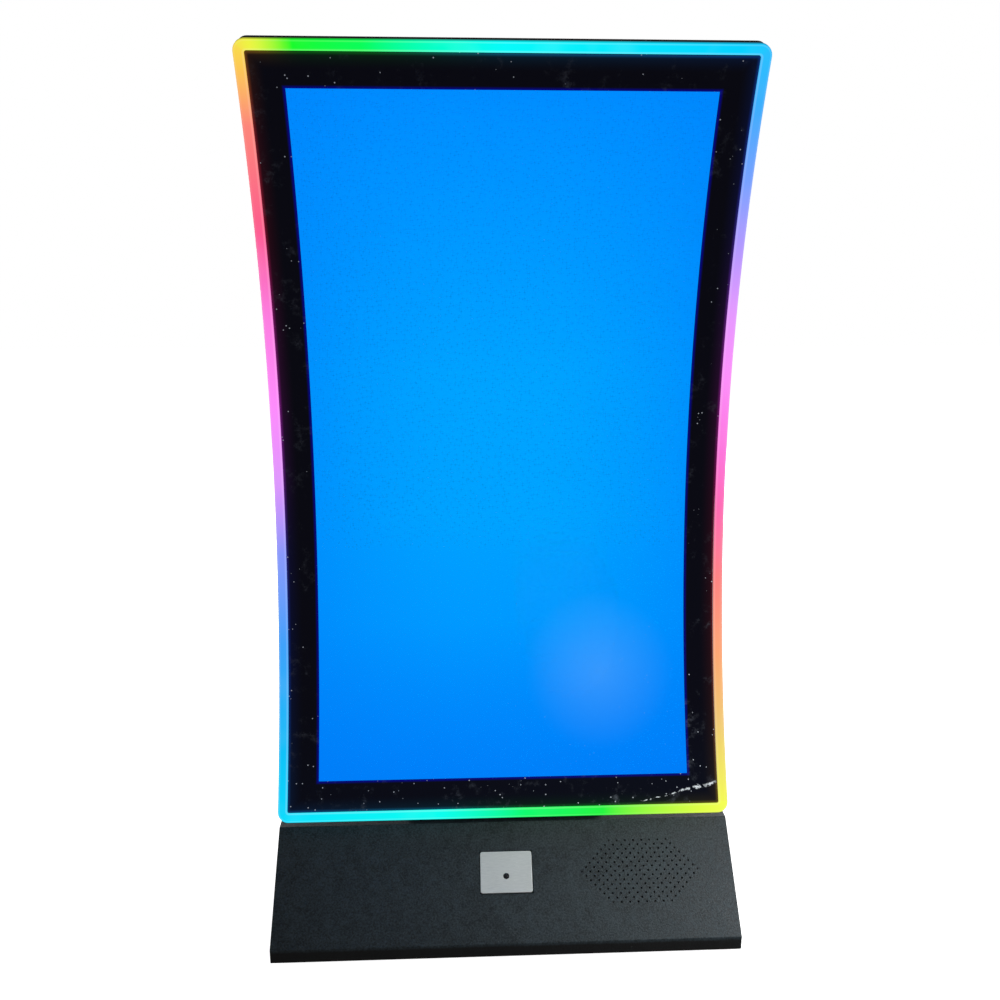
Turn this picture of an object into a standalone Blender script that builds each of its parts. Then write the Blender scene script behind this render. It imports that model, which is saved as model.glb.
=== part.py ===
"""Countertop video poker machine: a curved portrait display on a sloping steel console.

X runs across the machine, the player stands on the -Y side and Z is up. The origin is on the
surface that the machine stands on, under the middle of its outline. Sizes are in metres.
"""
from math import atan2, cos, pi, radians, sin

import bmesh
import bpy
from mathutils import Vector

MM = 0.001
GAP = 0.3 * MM                    # clearance between pieces that touch
SHEET = 2 * MM                    # folded steel

# Console base
DEPTH = 306 * MM                  # lip front to the rearmost fitting
FRONT = -DEPTH / 2
BASE_HALF = 320.7 * MM
WALL_BACK = 147 * MM              # outer face of the rear wall
FOOT_H = 4 * MM
LIP_H = 19.5 * MM
LIP_TOP = FOOT_H + LIP_H
DECK_ANGLE = radians(46.5)
DECK_L = 160.6 * MM
CREASE_Y = FRONT + DECK_L * cos(DECK_ANGLE)
BASE_TOP = LIP_TOP + DECK_L * sin(DECK_ANGLE)

# Curved display: every layer shares one arc whose centre line lies in front of the screen
GLASS_R = 1213 * MM
ACTIVE_HALF = 264.7 * MM          # 43 inch 16:9 panel, upright
ACTIVE_ARC = 470.6 * MM           # half of the panel's length along the arc
SCREEN_SETBACK = 115.9 * MM       # lip front to the bottom edge of the picture
SCREEN_BOTTOM = 206.8 * MM
CENTRE_Y = FRONT + SCREEN_SETBACK - GLASS_R * cos(ACTIVE_ARC / GLASS_R)
CENTRE_Z = SCREEN_BOTTOM + GLASS_R * sin(ACTIVE_ARC / GLASS_R)
BORDER = 41.8 * MM                # picture edge to the halo
HALO_W = 13 * MM
HALO_CORNER = 15 * MM
HALO_OVERHANG = 1.5 * MM          # halo's outer edge beyond the tray behind it
HALO_FRONT, HALO_BACK = -0.9 * MM, 4.5 * MM
TRAY_BACK_R = GLASS_R + 23 * MM
ARC_STEP = 50 * MM                # length of one facet along the arc
ARC_LEVELS = [ARC_STEP * k for k in range(-9, 10)]

# Electronics box on the display's back, and the neck below it
BOX_HALF = 200 * MM
BOX_ANGLE = radians(12)
BOX_BACK = 138 * MM
BOARD_Y = 86 * MM                 # front face of the board plate
NECK_X = 150 * MM
NECK_WEB = 4 * MM
NECK_COVER_BACK = 112 * MM

# Items on the deck: distance up the slope from the lip's top edge
BUTTON_T = 92.2 * MM
BUTTON_HALF = (36.25 * MM, 27.45 * MM)
BUTTON_SLIT = 0.9 * MM
BUTTON_PROUD = 1 * MM
LENS_T = -5.4 * MM                # lens centre measured from the button's centre
LENS_R = 4.2 * MM
HOUSING_FLOOR = -30 * MM          # heights below the deck's face, square to it
STEM_END = -31 * MM
SWITCH_TOP = -36 * MM
SWITCH_BOTTOM = -50 * MM
SPEAKER_X = 188.6 * MM
SPEAKER_T = 89.9 * MM
SPEAKER_SQUASH = 0.6              # short axis over long axis of the oval speaker

# Rear wall fittings
FAN = (165 * MM, 73 * MM)
FAN_FRONT = 118 * MM
FAN_BACK = WALL_BACK - SHEET - GAP
INLET = (262 * MM, 73 * MM)
DOOR_LOW = (-206 * MM, 22 * MM)
DOOR_HIGH = (106 * MM, 128 * MM)
HINGE = (-211 * MM, 150.1 * MM)
LOCK = (88 * MM, 75 * MM)

# Game board in the base: low corner of its underside
BOARD_X, BOARD_Y0, BOARD_Z = -240 * MM, -30 * MM, 16 * MM

BLACK_STEEL = ("powder coated steel", (0.03, 0.034, 0.04), 0.6, 0.0)
GALVANISED = ("galvanised steel", (0.55, 0.57, 0.58), 0.4, 1.0)
BRIGHT_STEEL = ("bright steel", (0.75, 0.76, 0.77), 0.25, 1.0)
BLACK_PLASTIC = ("black plastic", (0.02, 0.02, 0.022), 0.5, 0.0)
GREY_PLASTIC = ("grey plastic", (0.25, 0.26, 0.27), 0.5, 0.0)
RUBBER = ("rubber", (0.015, 0.015, 0.016), 0.8, 0.0)
GREEN_BOARD = ("circuit board", (0.02, 0.16, 0.07), 0.45, 0.0)
WHITE_BOARD = ("led strip", (0.85, 0.85, 0.82), 0.5, 0.0)
ACRYLIC = ("edge acrylic", (0.85, 0.88, 0.95), 0.2, 0.0)
GLASS = ("black glass", (0.01, 0.012, 0.02), 0.08, 0.0)
PANEL = ("blue picture", (0.0, 0.28, 1.0), 0.3, 0.0)
SILVER = ("silver button", (0.45, 0.48, 0.5), 0.35, 0.6)
PAPER = ("speaker paper", (0.03, 0.03, 0.03), 0.9, 0.0)
FERRITE = ("magnet", (0.06, 0.06, 0.065), 0.6, 0.4)
FOAM = ("foam tape", (0.02, 0.02, 0.02), 0.95, 0.0)


# ---------------------------------------------------------------- small helpers

def clear_scene():
    for obj in list(bpy.data.objects):
        bpy.data.objects.remove(obj, do_unlink=True)


def material(finish):
    name, colour, roughness, metallic = finish
    found = bpy.data.materials.get(name)
    if found:
        return found
    made = bpy.data.materials.new(name)
    made.use_nodes = True
    shader = made.node_tree.nodes["Principled BSDF"]
    shader.inputs["Base Color"].default_value = (*colour, 1)
    shader.inputs["Roughness"].default_value = roughness
    shader.inputs["Metallic"].default_value = metallic
    return made


def place(name, mesh, finish, parent=None):
    obj = bpy.data.objects.new(name, mesh)
    bpy.context.collection.objects.link(obj)
    obj.parent = parent
    if finish:
        mesh.materials.append(material(finish))
    return obj


def solid(name, points, faces, finish=None, parent=None, origin=(0, 0, 0)):
    """An object from points in its parent's frame, with its own origin at the given point."""
    mesh = bpy.data.meshes.new(name)
    base = Vector(origin)
    mesh.from_pydata([Vector(p) - base for p in points], [], faces)
    work = bmesh.new()
    work.from_mesh(mesh)
    bmesh.ops.recalc_face_normals(work, faces=work.faces)
    work.to_mesh(mesh)
    work.free()
    obj = place(name, mesh, finish, parent)
    obj.location = base
    return obj


def loft(name, loops, finish=None, parent=None, origin=(0, 0, 0), closed=False):
    """A skin over loops that all have the same number of points, capped unless it closes."""
    count = len(loops[0])
    points = [p for loop in loops for p in loop]
    faces = []
    spans = len(loops) if closed else len(loops) - 1
    for k in range(spans):
        a, b = k * count, (k + 1) % len(loops) * count
        faces += [(a + i, a + (i + 1) % count, b + (i + 1) % count, b + i) for i in range(count)]
    if not closed:
        faces += [tuple(range(count)), tuple(range(len(points) - count, len(points)))]
    return solid(name, points, faces, finish, parent, origin)


def box(name, low, high, finish=None, parent=None, origin=(0, 0, 0)):
    (x0, y0, z0), (x1, y1, z1) = low, high
    loops = [[(x0, y0, z), (x1, y0, z), (x1, y1, z), (x0, y1, z)] for z in (z0, z1)]
    return loft(name, loops, finish, parent, origin)


def slab_x(name, outline, x0, x1, finish=None, parent=None, origin=(0, 0, 0)):
    """An outline in (y, z) extruded along X."""
    loops = [[(x, y, z) for y, z in outline] for x in (x0, x1)]
    return loft(name, loops, finish, parent, origin)


def slab_z(name, outline, z0, z1, finish=None, parent=None, origin=(0, 0, 0)):
    """An outline in (x, y) extruded along Z."""
    loops = [[(x, y, z) for x, y in outline] for z in (z0, z1)]
    return loft(name, loops, finish, parent, origin)


def ring_points(radius, sides, centre=(0, 0), squash=1.0):
    turn = 2 * pi / sides
    return [(centre[0] + radius * cos(turn * (k + 0.5)),
             centre[1] + squash * radius * sin(turn * (k + 0.5))) for k in range(sides)]


def turned(name, profile, sides, finish=None, parent=None, centre=(0, 0), squash=1.0,
           closed=False, axis="Z", origin=(0, 0, 0)):
    """A profile of (radius, height) turned about an axis through centre, parallel to Z or Y."""
    loops = []
    for radius, height in profile:
        ring = ring_points(radius, sides, centre, squash)
        if axis == "Z":
            loops.append([(x, y, height) for x, y in ring])
        else:
            loops.append([(x, height, z) for x, z in ring])
    return loft(name, loops, finish, parent, origin, closed)


def rod(name, radius, low, high, sides=16, finish=None, parent=None, centre=(0, 0), axis="Z",
        origin=(0, 0, 0)):
    return turned(name, [(radius, low), (radius, high)], sides, finish, parent, centre,
                  axis=axis, origin=origin)


def combine(obj, tools, operation):
    for tool in tools:
        tool.hide_render = True
        tool.display_type = "WIRE"
        step = obj.modifiers.new(tool.name, "BOOLEAN")
        step.operation = operation
        step.object = tool
    return obj


def cut(obj, *tools):
    return combine(obj, tools, "DIFFERENCE")


def fuse(obj, *tools):
    return combine(obj, tools, "UNION")


def on_arc(x, s, r):
    """Point at x across, s along the screen from its middle and r from the arc's centre line."""
    angle = s / GLASS_R
    return Vector((x, CENTRE_Y + r * cos(angle), CENTRE_Z + r * sin(angle)))


def arc_profile(r, low, high, steps):
    """(y, z) points along the arc at radius r, from angle low to angle high."""
    angles = [low + (high - low) * k / steps for k in range(steps + 1)]
    return [(CENTRE_Y + r * cos(a), CENTRE_Z + r * sin(a)) for a in angles]


def rim(half_w, half_s, corner, corner_steps=4):
    """Right-hand side of a rounded upright rectangle in (x, s), from bottom to top."""
    bend = [pi / 2 * k / corner_steps for k in range(corner_steps + 1)]
    low = [(half_w - corner + corner * sin(a), corner - half_s - corner * cos(a)) for a in bend]
    high = [(x, -s) for x, s in reversed(low)]
    return low + [(half_w, s) for s in ARC_LEVELS] + high


def around(side, r):
    """The whole loop of a rim at radius r."""
    left = [(-x, s) for x, s in reversed(side)]
    return [on_arc(x, s, r) for x, s in side + left]


def rungs(start, count):
    """Faces that close a loop made by around, as strips from its right to its left side."""
    last = start + 2 * count - 1
    return [(start + i, start + i + 1, last - i - 1, last - i) for i in range(count - 1)]


def curved_plate(name, side, r0, r1, finish):
    loops = [around(side, r0), around(side, r1)]
    count = len(loops[0])
    faces = [(i, (i + 1) % count, (i + 1) % count + count, i + count) for i in range(count)]
    faces += rungs(0, len(side)) + rungs(count, len(side))
    return solid(name, loops[0] + loops[1], faces, finish)


def curved_ring(name, outer, inner, r0, r1, finish):
    loops = [around(outer, r0), around(outer, r1), around(inner, r1), around(inner, r0)]
    return loft(name, loops, finish, closed=True)


def curved_tray(name, outer, inner, r_front, r_floor, r_back, finish):
    loops = [around(outer, r_back), around(outer, r_front), around(inner, r_front),
             around(inner, r_floor)]
    count = len(loops[0])
    points = [p for loop in loops for p in loop]
    faces = []
    for k in range(3):
        a, b = k * count, (k + 1) * count
        faces += [(a + i, a + (i + 1) % count, b + (i + 1) % count, b + i) for i in range(count)]
    faces += rungs(0, len(outer)) + rungs(3 * count, len(inner))
    return solid(name, points, faces, finish)


def cable(name, points, radius, finish):
    """A round lead through a smooth curve over its route points."""
    route = smooth_route([Vector(p) for p in points], radius * 5)
    data = bpy.data.curves.new(name, "CURVE")
    data.dimensions = "3D"
    data.bevel_depth = radius
    data.bevel_resolution = 2
    data.use_fill_caps = True
    line = data.splines.new("POLY")
    line.points.add(len(route) - 1)
    for point, co in zip(line.points, route):
        point.co = (*co, 1)
    data.materials.append(material(finish))
    obj = bpy.data.objects.new(name, data)
    bpy.context.collection.objects.link(obj)
    return obj


def smooth_route(knots, pitch):
    """Catmull-Rom curve through the knots, with a point about every pitch metres."""
    ends = [2 * knots[0] - knots[1]] + knots + [2 * knots[-1] - knots[-2]]
    route = []
    for k in range(1, len(ends) - 2):
        a, b, c, d = ends[k - 1:k + 3]
        steps = max(2, round((c - b).length / pitch))
        for i in range(steps):
            t = i / steps
            route.append(0.5 * (2 * b + (c - a) * t + (2 * a - 5 * b + 4 * c - d) * t * t
                                + (3 * b - a - 3 * c + d) * t ** 3))
    return route + [knots[-1]]


# ---------------------------------------------------------------- console base

def base_shell():
    slope = atan2(BASE_TOP - LIP_TOP, CREASE_Y - FRONT)
    low = FOOT_H
    outer = [(FRONT, low), (FRONT, LIP_TOP), (CREASE_Y, BASE_TOP), (WALL_BACK, BASE_TOP),
             (WALL_BACK, low)]
    lip_in = LIP_TOP - SHEET * (1 - sin(slope)) / cos(slope)
    crease_in = CREASE_Y + SHEET * (1 - cos(slope)) / sin(slope)
    inner = [(FRONT + SHEET, low - SHEET), (FRONT + SHEET, lip_in),
             (crease_in, BASE_TOP - SHEET), (WALL_BACK - SHEET, BASE_TOP - SHEET),
             (WALL_BACK - SHEET, low - SHEET)]
    shell = slab_x("base_shell", outer, -BASE_HALF, BASE_HALF, BLACK_STEEL)
    tools = [slab_x("shell_hollow", inner, SHEET - BASE_HALF, BASE_HALF - SHEET)]
    bx, bt = BUTTON_HALF
    slit = BUTTON_SLIT
    tools.append(box("button_cutout", (-bx - slit, BUTTON_T - bt - slit, -5 * MM),
                     (bx + slit, BUTTON_T + bt + slit, 5 * MM), parent=DECK))
    wall_in, wall_out = WALL_BACK - 2 * SHEET, WALL_BACK + SHEET
    tools.append(box("door_cutout", (-198 * MM, wall_in, 30 * MM), (99 * MM, wall_out, 120 * MM)))
    tools.append(rod("fan_cutout", 37 * MM, wall_in, wall_out, 24, centre=FAN, axis="Y"))
    ix, iz = INLET
    tools.append(box("inlet_cutout", (ix - 14 * MM, wall_in, iz - 30 * MM),
                     (ix + 14 * MM, wall_out, iz + 30 * MM)))
    tools.append(rod("cable_cutout", 16 * MM, BASE_TOP - 2 * SHEET, BASE_TOP + SHEET, 16,
                     centre=(0, 60 * MM)))
    return cut(shell, *tools)


def bottom_plate():
    inset = SHEET + GAP
    z0 = FOOT_H + GAP
    plate = box("bottom_plate", (inset - BASE_HALF, FRONT + inset, z0),
                (BASE_HALF - inset, WALL_BACK - inset, z0 + SHEET), GALVANISED)
    bosses = [rod(f"board_boss_{i}", 4 * MM, z0 + SHEET / 2, BOARD_Z - GAP, 8,
                  centre=(BOARD_X + i % 2 * 154 * MM + 8 * MM, BOARD_Y0 + i // 2 * 154 * MM + 8 * MM))
              for i in range(4)]
    return fuse(plate, *bosses)


def feet():
    for name, sx, sy in (("left_front", -1, -1), ("right_front", 1, -1),
                         ("left_rear", -1, 1), ("right_rear", 1, 1)):
        turned(f"foot_{name}", [(13 * MM, 0), (15 * MM, FOOT_H - 2 * GAP), (6 * MM, FOOT_H)], 20,
               RUBBER, centre=(sx * 280 * MM, sy * 118 * MM))


# ---------------------------------------------------------------- speaker under the deck

def speaker():
    """Oval loudspeaker: turned round, then squashed along the slope, below the deck's face."""
    top = -SHEET - GAP
    spot = {"parent": DECK, "centre": (SPEAKER_X, SPEAKER_T), "squash": SPEAKER_SQUASH}
    turned("speaker_basket",
           [(84 * MM, top), (84 * MM, top - 2 * MM), (80 * MM, top - 2.5 * MM),
            (34 * MM, -38 * MM), (34 * MM, -40 * MM), (10 * MM, -40 * MM), (10 * MM, -38 * MM),
            (31 * MM, -37 * MM), (77 * MM, top - 3 * MM), (77 * MM, top)],
           32, BLACK_PLASTIC, closed=True, **spot)
    turned("speaker_surround",
           [(76.4 * MM, -3 * MM), (72 * MM, -2.4 * MM), (68 * MM, -3 * MM),
            (68 * MM, -4 * MM), (72 * MM, -3.4 * MM), (76.4 * MM, -4 * MM)],
           32, RUBBER, closed=True, **spot)
    turned("speaker_cone",
           [(14 * MM, -35 * MM), (18 * MM, -32 * MM), (67 * MM, -6.5 * MM), (67 * MM, -5.5 * MM),
            (20 * MM, -27 * MM), (14 * MM, -24 * MM), (6 * MM, -22 * MM)],
           32, PAPER, **spot)
    rod("speaker_magnet", 19 * MM, -56 * MM, -40 * MM - GAP, 24, FERRITE, DECK,
        (SPEAKER_X, SPEAKER_T))


# ---------------------------------------------------------------- play button under the deck

def play_button():
    bx, bt = BUTTON_HALF
    spot = (0, BUTTON_T)
    cap = slab_z("play_button", round_box(bx, bt, 3 * MM, spot), -6.5 * MM, BUTTON_PROUD, SILVER,
                 DECK, (0, BUTTON_T, 0))
    stem = rod("button_stem", 5 * MM, STEM_END, -6 * MM, 16, parent=DECK, centre=spot)
    seat = rod("lens_seat", LENS_R + GAP, -2 * MM, 3 * MM, 20, parent=DECK,
               centre=(0, BUTTON_T + LENS_T))
    cut(fuse(cap, stem), seat)
    rod("button_lens", LENS_R, -2 * MM + GAP, BUTTON_PROUD + 0.3 * MM, 20, BLACK_PLASTIC, DECK,
        (0, BUTTON_T + LENS_T))


def button_housing():
    bx, bt = BUTTON_HALF
    wall = 4 * MM
    spot = (0, BUTTON_T)
    top = -SHEET - GAP
    body = slab_z("button_housing", round_box(bx + 8 * MM, bt + 8 * MM, 4 * MM, spot),
                  HOUSING_FLOOR, top, BLACK_PLASTIC, DECK)
    well = slab_z("housing_well", round_box(bx + wall - 3 * MM, bt + wall - 3 * MM, 3 * MM, spot),
                  HOUSING_FLOOR + 2.5 * MM, 0, parent=DECK)
    hole = rod("stem_hole", 5.6 * MM, HOUSING_FLOOR - 5 * MM, 0, 16, parent=DECK, centre=spot)
    legs = [box(f"switch_leg_{side}", (min(a, b), BUTTON_T - 7 * MM, SWITCH_BOTTOM),
                (max(a, b), BUTTON_T + 7 * MM, HOUSING_FLOOR + MM), parent=DECK)
            for side, a, b in (("left", -14.4 * MM, -17 * MM), ("right", 14.4 * MM, 17 * MM))]
    cut(fuse(body, *legs), well, hole)


def button_spring():
    """Compression spring round the stem, between the housing's floor and the cap."""
    wire, coil, turns, per_turn, sides = 0.8 * MM, 9 * MM, 5, 14, 6
    low = HOUSING_FLOOR + 2.5 * MM + GAP + wire
    high = -6.5 * MM - GAP - wire
    loops = []
    for k in range(turns * per_turn + 1):
        angle = 2 * pi * k / per_turn
        height = low + (high - low) * k / (turns * per_turn)
        loops.append([((coil + wire * cos(2 * pi * i / sides)) * cos(angle),
                       BUTTON_T + (coil + wire * cos(2 * pi * i / sides)) * sin(angle),
                       height + wire * sin(2 * pi * i / sides)) for i in range(sides)])
    loft("button_spring", loops, BRIGHT_STEEL, DECK)


def button_switch():
    spot = (0, BUTTON_T)
    body = box("switch_body", (-14 * MM, BUTTON_T - 6 * MM, SWITCH_BOTTOM),
               (14 * MM, BUTTON_T + 6 * MM, SWITCH_TOP), GREY_PLASTIC, DECK)
    bore = rod("plunger_bore", 1.9 * MM, SWITCH_TOP - 10 * MM, SWITCH_TOP + MM, 12, parent=DECK,
               centre=spot)
    cut(body, bore)
    rod("switch_plunger", 1.5 * MM, SWITCH_TOP - 5 * MM, STEM_END - GAP, 12, BLACK_PLASTIC, DECK,
        spot, origin=(0, BUTTON_T, 0))


def round_box(half_x, half_y, corner, centre, steps=3):
    """Outline of a rectangle with round corners."""
    points = []
    for sx, sy, start in ((1, 1, 0), (-1, 1, pi / 2), (-1, -1, pi), (1, -1, 3 * pi / 2)):
        for k in range(steps + 1):
            a = start + pi / 2 * k / steps
            points.append((centre[0] + sx * (half_x - corner) + corner * cos(a),
                           centre[1] + sy * (half_y - corner) + corner * sin(a)))
    return points


# ---------------------------------------------------------------- electronics in the base

def circuit_board(name, low, size, parts, up="Z"):
    """A board with its taller components: each is (place, size) in the board's own plane."""
    def corner(u, v, h):
        if up == "Z":
            return (low[0] + u, low[1] + v, low[2] + h)
        return (low[0] + u, low[1] + h, low[2] + v)
    width, length, thick = size
    board = box(name, corner(0, 0, 0), corner(width, length, thick), GREEN_BOARD)
    blocks = [box(f"{name}_part_{i}", corner(u, v, thick / 2), corner(u + w, v + d, thick + h))
              for i, (u, v, w, d, h) in enumerate(parts)]
    return fuse(board, *blocks)


def base_electronics():
    circuit_board("game_board", (BOARD_X, BOARD_Y0, BOARD_Z), (170 * MM, 170 * MM, 1.6 * MM),
                  [(50 * MM, 60 * MM, 60 * MM, 60 * MM, 28 * MM),
                   (20 * MM, 20 * MM, 130 * MM, 8 * MM, 30 * MM),
                   (30 * MM, 142 * MM, 110 * MM, 22 * MM, 16 * MM),
                   (128 * MM, 60 * MM, 12 * MM, 50 * MM, 9 * MM)])
    floor = FOOT_H + SHEET + 2 * GAP
    box("power_supply", (20 * MM, -10 * MM, floor), (220 * MM, 88 * MM, floor + 42 * MM),
        GALVANISED)
    circuit_board("audio_amplifier", (240 * MM, -20 * MM, floor), (60 * MM, 70 * MM, 1.6 * MM),
                  [(15 * MM, 20 * MM, 30 * MM, 30 * MM, 14 * MM),
                   (6 * MM, 56 * MM, 48 * MM, 10 * MM, 10 * MM)])


# ---------------------------------------------------------------- rear wall fittings

def fan():
    fx, fz = FAN
    half = 40 * MM
    frame = box("fan_frame", (fx - half, FAN_FRONT, fz - half), (fx + half, FAN_BACK, fz + half),
                BLACK_PLASTIC)
    tunnel = rod("fan_tunnel", 38 * MM, FAN_FRONT - MM, FAN_BACK + MM, 28, centre=FAN, axis="Y")
    motor = rod("fan_motor", 15 * MM, FAN_FRONT, FAN_FRONT + 4 * MM, 16, centre=FAN, axis="Y")
    struts = [box("fan_strut_across", (fx - half + MM, FAN_FRONT, fz - 2 * MM),
                  (fx + half - MM, FAN_FRONT + 3 * MM, fz + 2 * MM)),
              box("fan_strut_up", (fx - 2 * MM, FAN_FRONT, fz - half + MM),
                  (fx + 2 * MM, FAN_FRONT + 3 * MM, fz + half - MM))]
    fuse(cut(frame, tunnel), motor, *struts)
    rotor = rod("fan_rotor", 16 * MM, FAN_FRONT + 5 * MM, FAN_BACK - 2 * MM, 21, BLACK_PLASTIC,
                centre=FAN, axis="Y", origin=(fx, FAN_FRONT, fz))
    blades = 7
    fuse(rotor, *[fan_blade(k, 2 * pi * k / blades) for k in range(blades)])


def fan_blade(number, turn):
    """One pitched blade: a thin slanted plate from the hub to the tip circle."""
    fx, fz = FAN
    y0, y1 = FAN_FRONT + 7 * MM, FAN_BACK - 4 * MM
    sweep, thick = 8 * MM, 1.6 * MM
    loops = []
    for radius, spread in ((14 * MM, 0.6), (36 * MM, 1.0)):
        rise = [(-sweep * spread, y0), (-sweep * spread + thick, y0),
                (sweep * spread + thick, y1), (sweep * spread, y1)]
        loops.append([(fx + radius * cos(turn) - w * sin(turn), y,
                       fz + radius * sin(turn) + w * cos(turn)) for w, y in rise])
    return loft(f"fan_blade_{number}", loops)


def fan_guard():
    """Finger guard: two rings and a hub plate held by a cross."""
    fx, fz = FAN
    y0 = WALL_BACK + GAP
    y1 = y0 + 1.6 * MM
    outer = turned("fan_guard", [(39 * MM, y0), (39 * MM, y1), (36.5 * MM, y1), (36.5 * MM, y0)],
                   28, BRIGHT_STEEL, centre=FAN, axis="Y", closed=True)
    inner = turned("guard_ring", [(25 * MM, y0), (25 * MM, y1), (23 * MM, y1), (23 * MM, y0)],
                   28, centre=FAN, axis="Y", closed=True)
    middle = rod("guard_hub", 11 * MM, y0, y1, 14, centre=FAN, axis="Y")
    bars = [box("guard_bar_across", (fx - 38 * MM, y0, fz - MM), (fx + 38 * MM, y1, fz + MM)),
            box("guard_bar_up", (fx - MM, y0, fz - 38 * MM), (fx + MM, y1, fz + 38 * MM))]
    fuse(outer, inner, middle, *bars)


def power_inlet():
    ix, iz = INLET
    face = WALL_BACK + GAP
    body = box("power_inlet", (ix - 13.5 * MM, 118 * MM, iz - 29.5 * MM),
               (ix + 13.5 * MM, face + MM, iz + 29.5 * MM), BLACK_PLASTIC)
    flange = box("inlet_flange", (ix - 17 * MM, face, iz - 33 * MM),
                 (ix + 17 * MM, face + 2 * MM, iz + 33 * MM))
    socket = box("inlet_socket", (ix - 11.8 * MM, face - 14 * MM, iz - 25 * MM),
                 (ix + 11.8 * MM, face + 5 * MM, iz - 8 * MM))
    well = box("rocker_well", (ix - 10.4 * MM, face - 9 * MM, iz + 3 * MM),
               (ix + 10.4 * MM, face + 5 * MM, iz + 24 * MM))
    cut(fuse(body, flange), socket, well)
    rocker()


def rocker():
    """Shallow V-shaped rocker, resting with its upper end pressed in."""
    ix, iz = INLET
    pivot = Vector((ix, WALL_BACK - 2 * MM, iz + 13.5 * MM))
    outline = [(-3 * MM, -9.5 * MM), (4.6 * MM, -9.5 * MM), (3.2 * MM, 0), (4.6 * MM, 9.5 * MM),
               (-3 * MM, 9.5 * MM)]
    tilt = radians(8)
    turned_outline = [(pivot.y + y * cos(tilt) - z * sin(tilt),
                       pivot.z + y * sin(tilt) + z * cos(tilt)) for y, z in outline]
    slab_x("power_rocker", turned_outline, ix - 10 * MM, ix + 10 * MM, BLACK_PLASTIC,
           origin=pivot)


# ---------------------------------------------------------------- rear service door

def service_door():
    y0 = WALL_BACK + GAP
    door = box("service_door", (DOOR_LOW[0], y0, DOOR_LOW[1]),
               (DOOR_HIGH[0], y0 + SHEET, DOOR_HIGH[1]), BLACK_STEEL,
               origin=(HINGE[0], HINGE[1], 0))
    cut(door, rod("lock_hole", 8.3 * MM, y0 - MM, y0 + 2 * SHEET, 20, centre=LOCK, axis="Y"))


def hinge():
    """Butt hinge: the fixed leaf carries the end knuckles, the door's leaf the middle one."""
    hx, hy = HINGE
    low, high, split_a, split_b = 30 * MM, 120 * MM, 55 * MM, 95 * MM
    wall_face = WALL_BACK + GAP
    door_face = wall_face + SHEET + GAP
    leaf = 1.2 * MM
    gap = GAP / 2
    spot = {"centre": HINGE, "sides": 16}
    fixed = box("hinge_fixed_leaf", (hx - 22 * MM, wall_face, low),
                (hx, wall_face + leaf, high), BRIGHT_STEEL)
    ends = [rod("knuckle_low", 2.9 * MM, low, split_a - gap, **spot),
            rod("knuckle_high", 2.9 * MM, split_b + gap, high, **spot)]
    room = rod("knuckle_room", 3.3 * MM, split_a - gap, split_b + gap, **spot)
    bore = rod("fixed_bore", 1.4 * MM, low - MM, high + MM, **spot)
    cut(fuse(fixed, *ends), room, bore)
    moving = box("hinge_moving_leaf", (hx, door_face, low), (hx + 21 * MM, door_face + leaf, high),
                 BRIGHT_STEEL, origin=(hx, hy, 0))
    middle = rod("knuckle_middle", 2.9 * MM, split_a + gap, split_b - gap, **spot)
    rooms = [rod("room_low", 3.3 * MM, low - MM, split_a + gap, **spot),
             rod("room_high", 3.3 * MM, split_b - gap, high + MM, **spot)]
    moving_bore = rod("moving_bore", 1.4 * MM, low - MM, high + MM, **spot)
    cut(fuse(moving, middle), *rooms, moving_bore)
    rod("hinge_pin", 1.33 * MM, low - 2 * MM, high + 2 * MM, finish=BRIGHT_STEEL, **spot)


def lock():
    """Cam lock at rest unlocked: the cam hangs down inside the doorway."""
    lx, lz = LOCK
    face = WALL_BACK + GAP + SHEET + GAP
    inner = 140 * MM
    turned("lock_body", [(11 * MM, face), (10 * MM, face + 2.6 * MM), (5.3 * MM, face + 2.6 * MM),
                         (5.3 * MM, inner), (8 * MM, inner), (8 * MM, face)],
           20, BRIGHT_STEEL, centre=LOCK, axis="Y", closed=True)
    plug = rod("lock_cylinder", 5 * MM, inner - 4 * MM, face + 2.3 * MM, 20, BRIGHT_STEEL,
               centre=LOCK, axis="Y", origin=(lx, inner, lz))
    cam = box("lock_cam", (lx - 6 * MM, inner - 3.5 * MM, lz - 27 * MM),
              (lx + 6 * MM, inner - 1.5 * MM, lz + 7 * MM))
    fuse(plug, cam)


# ---------------------------------------------------------------- curved display

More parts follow.
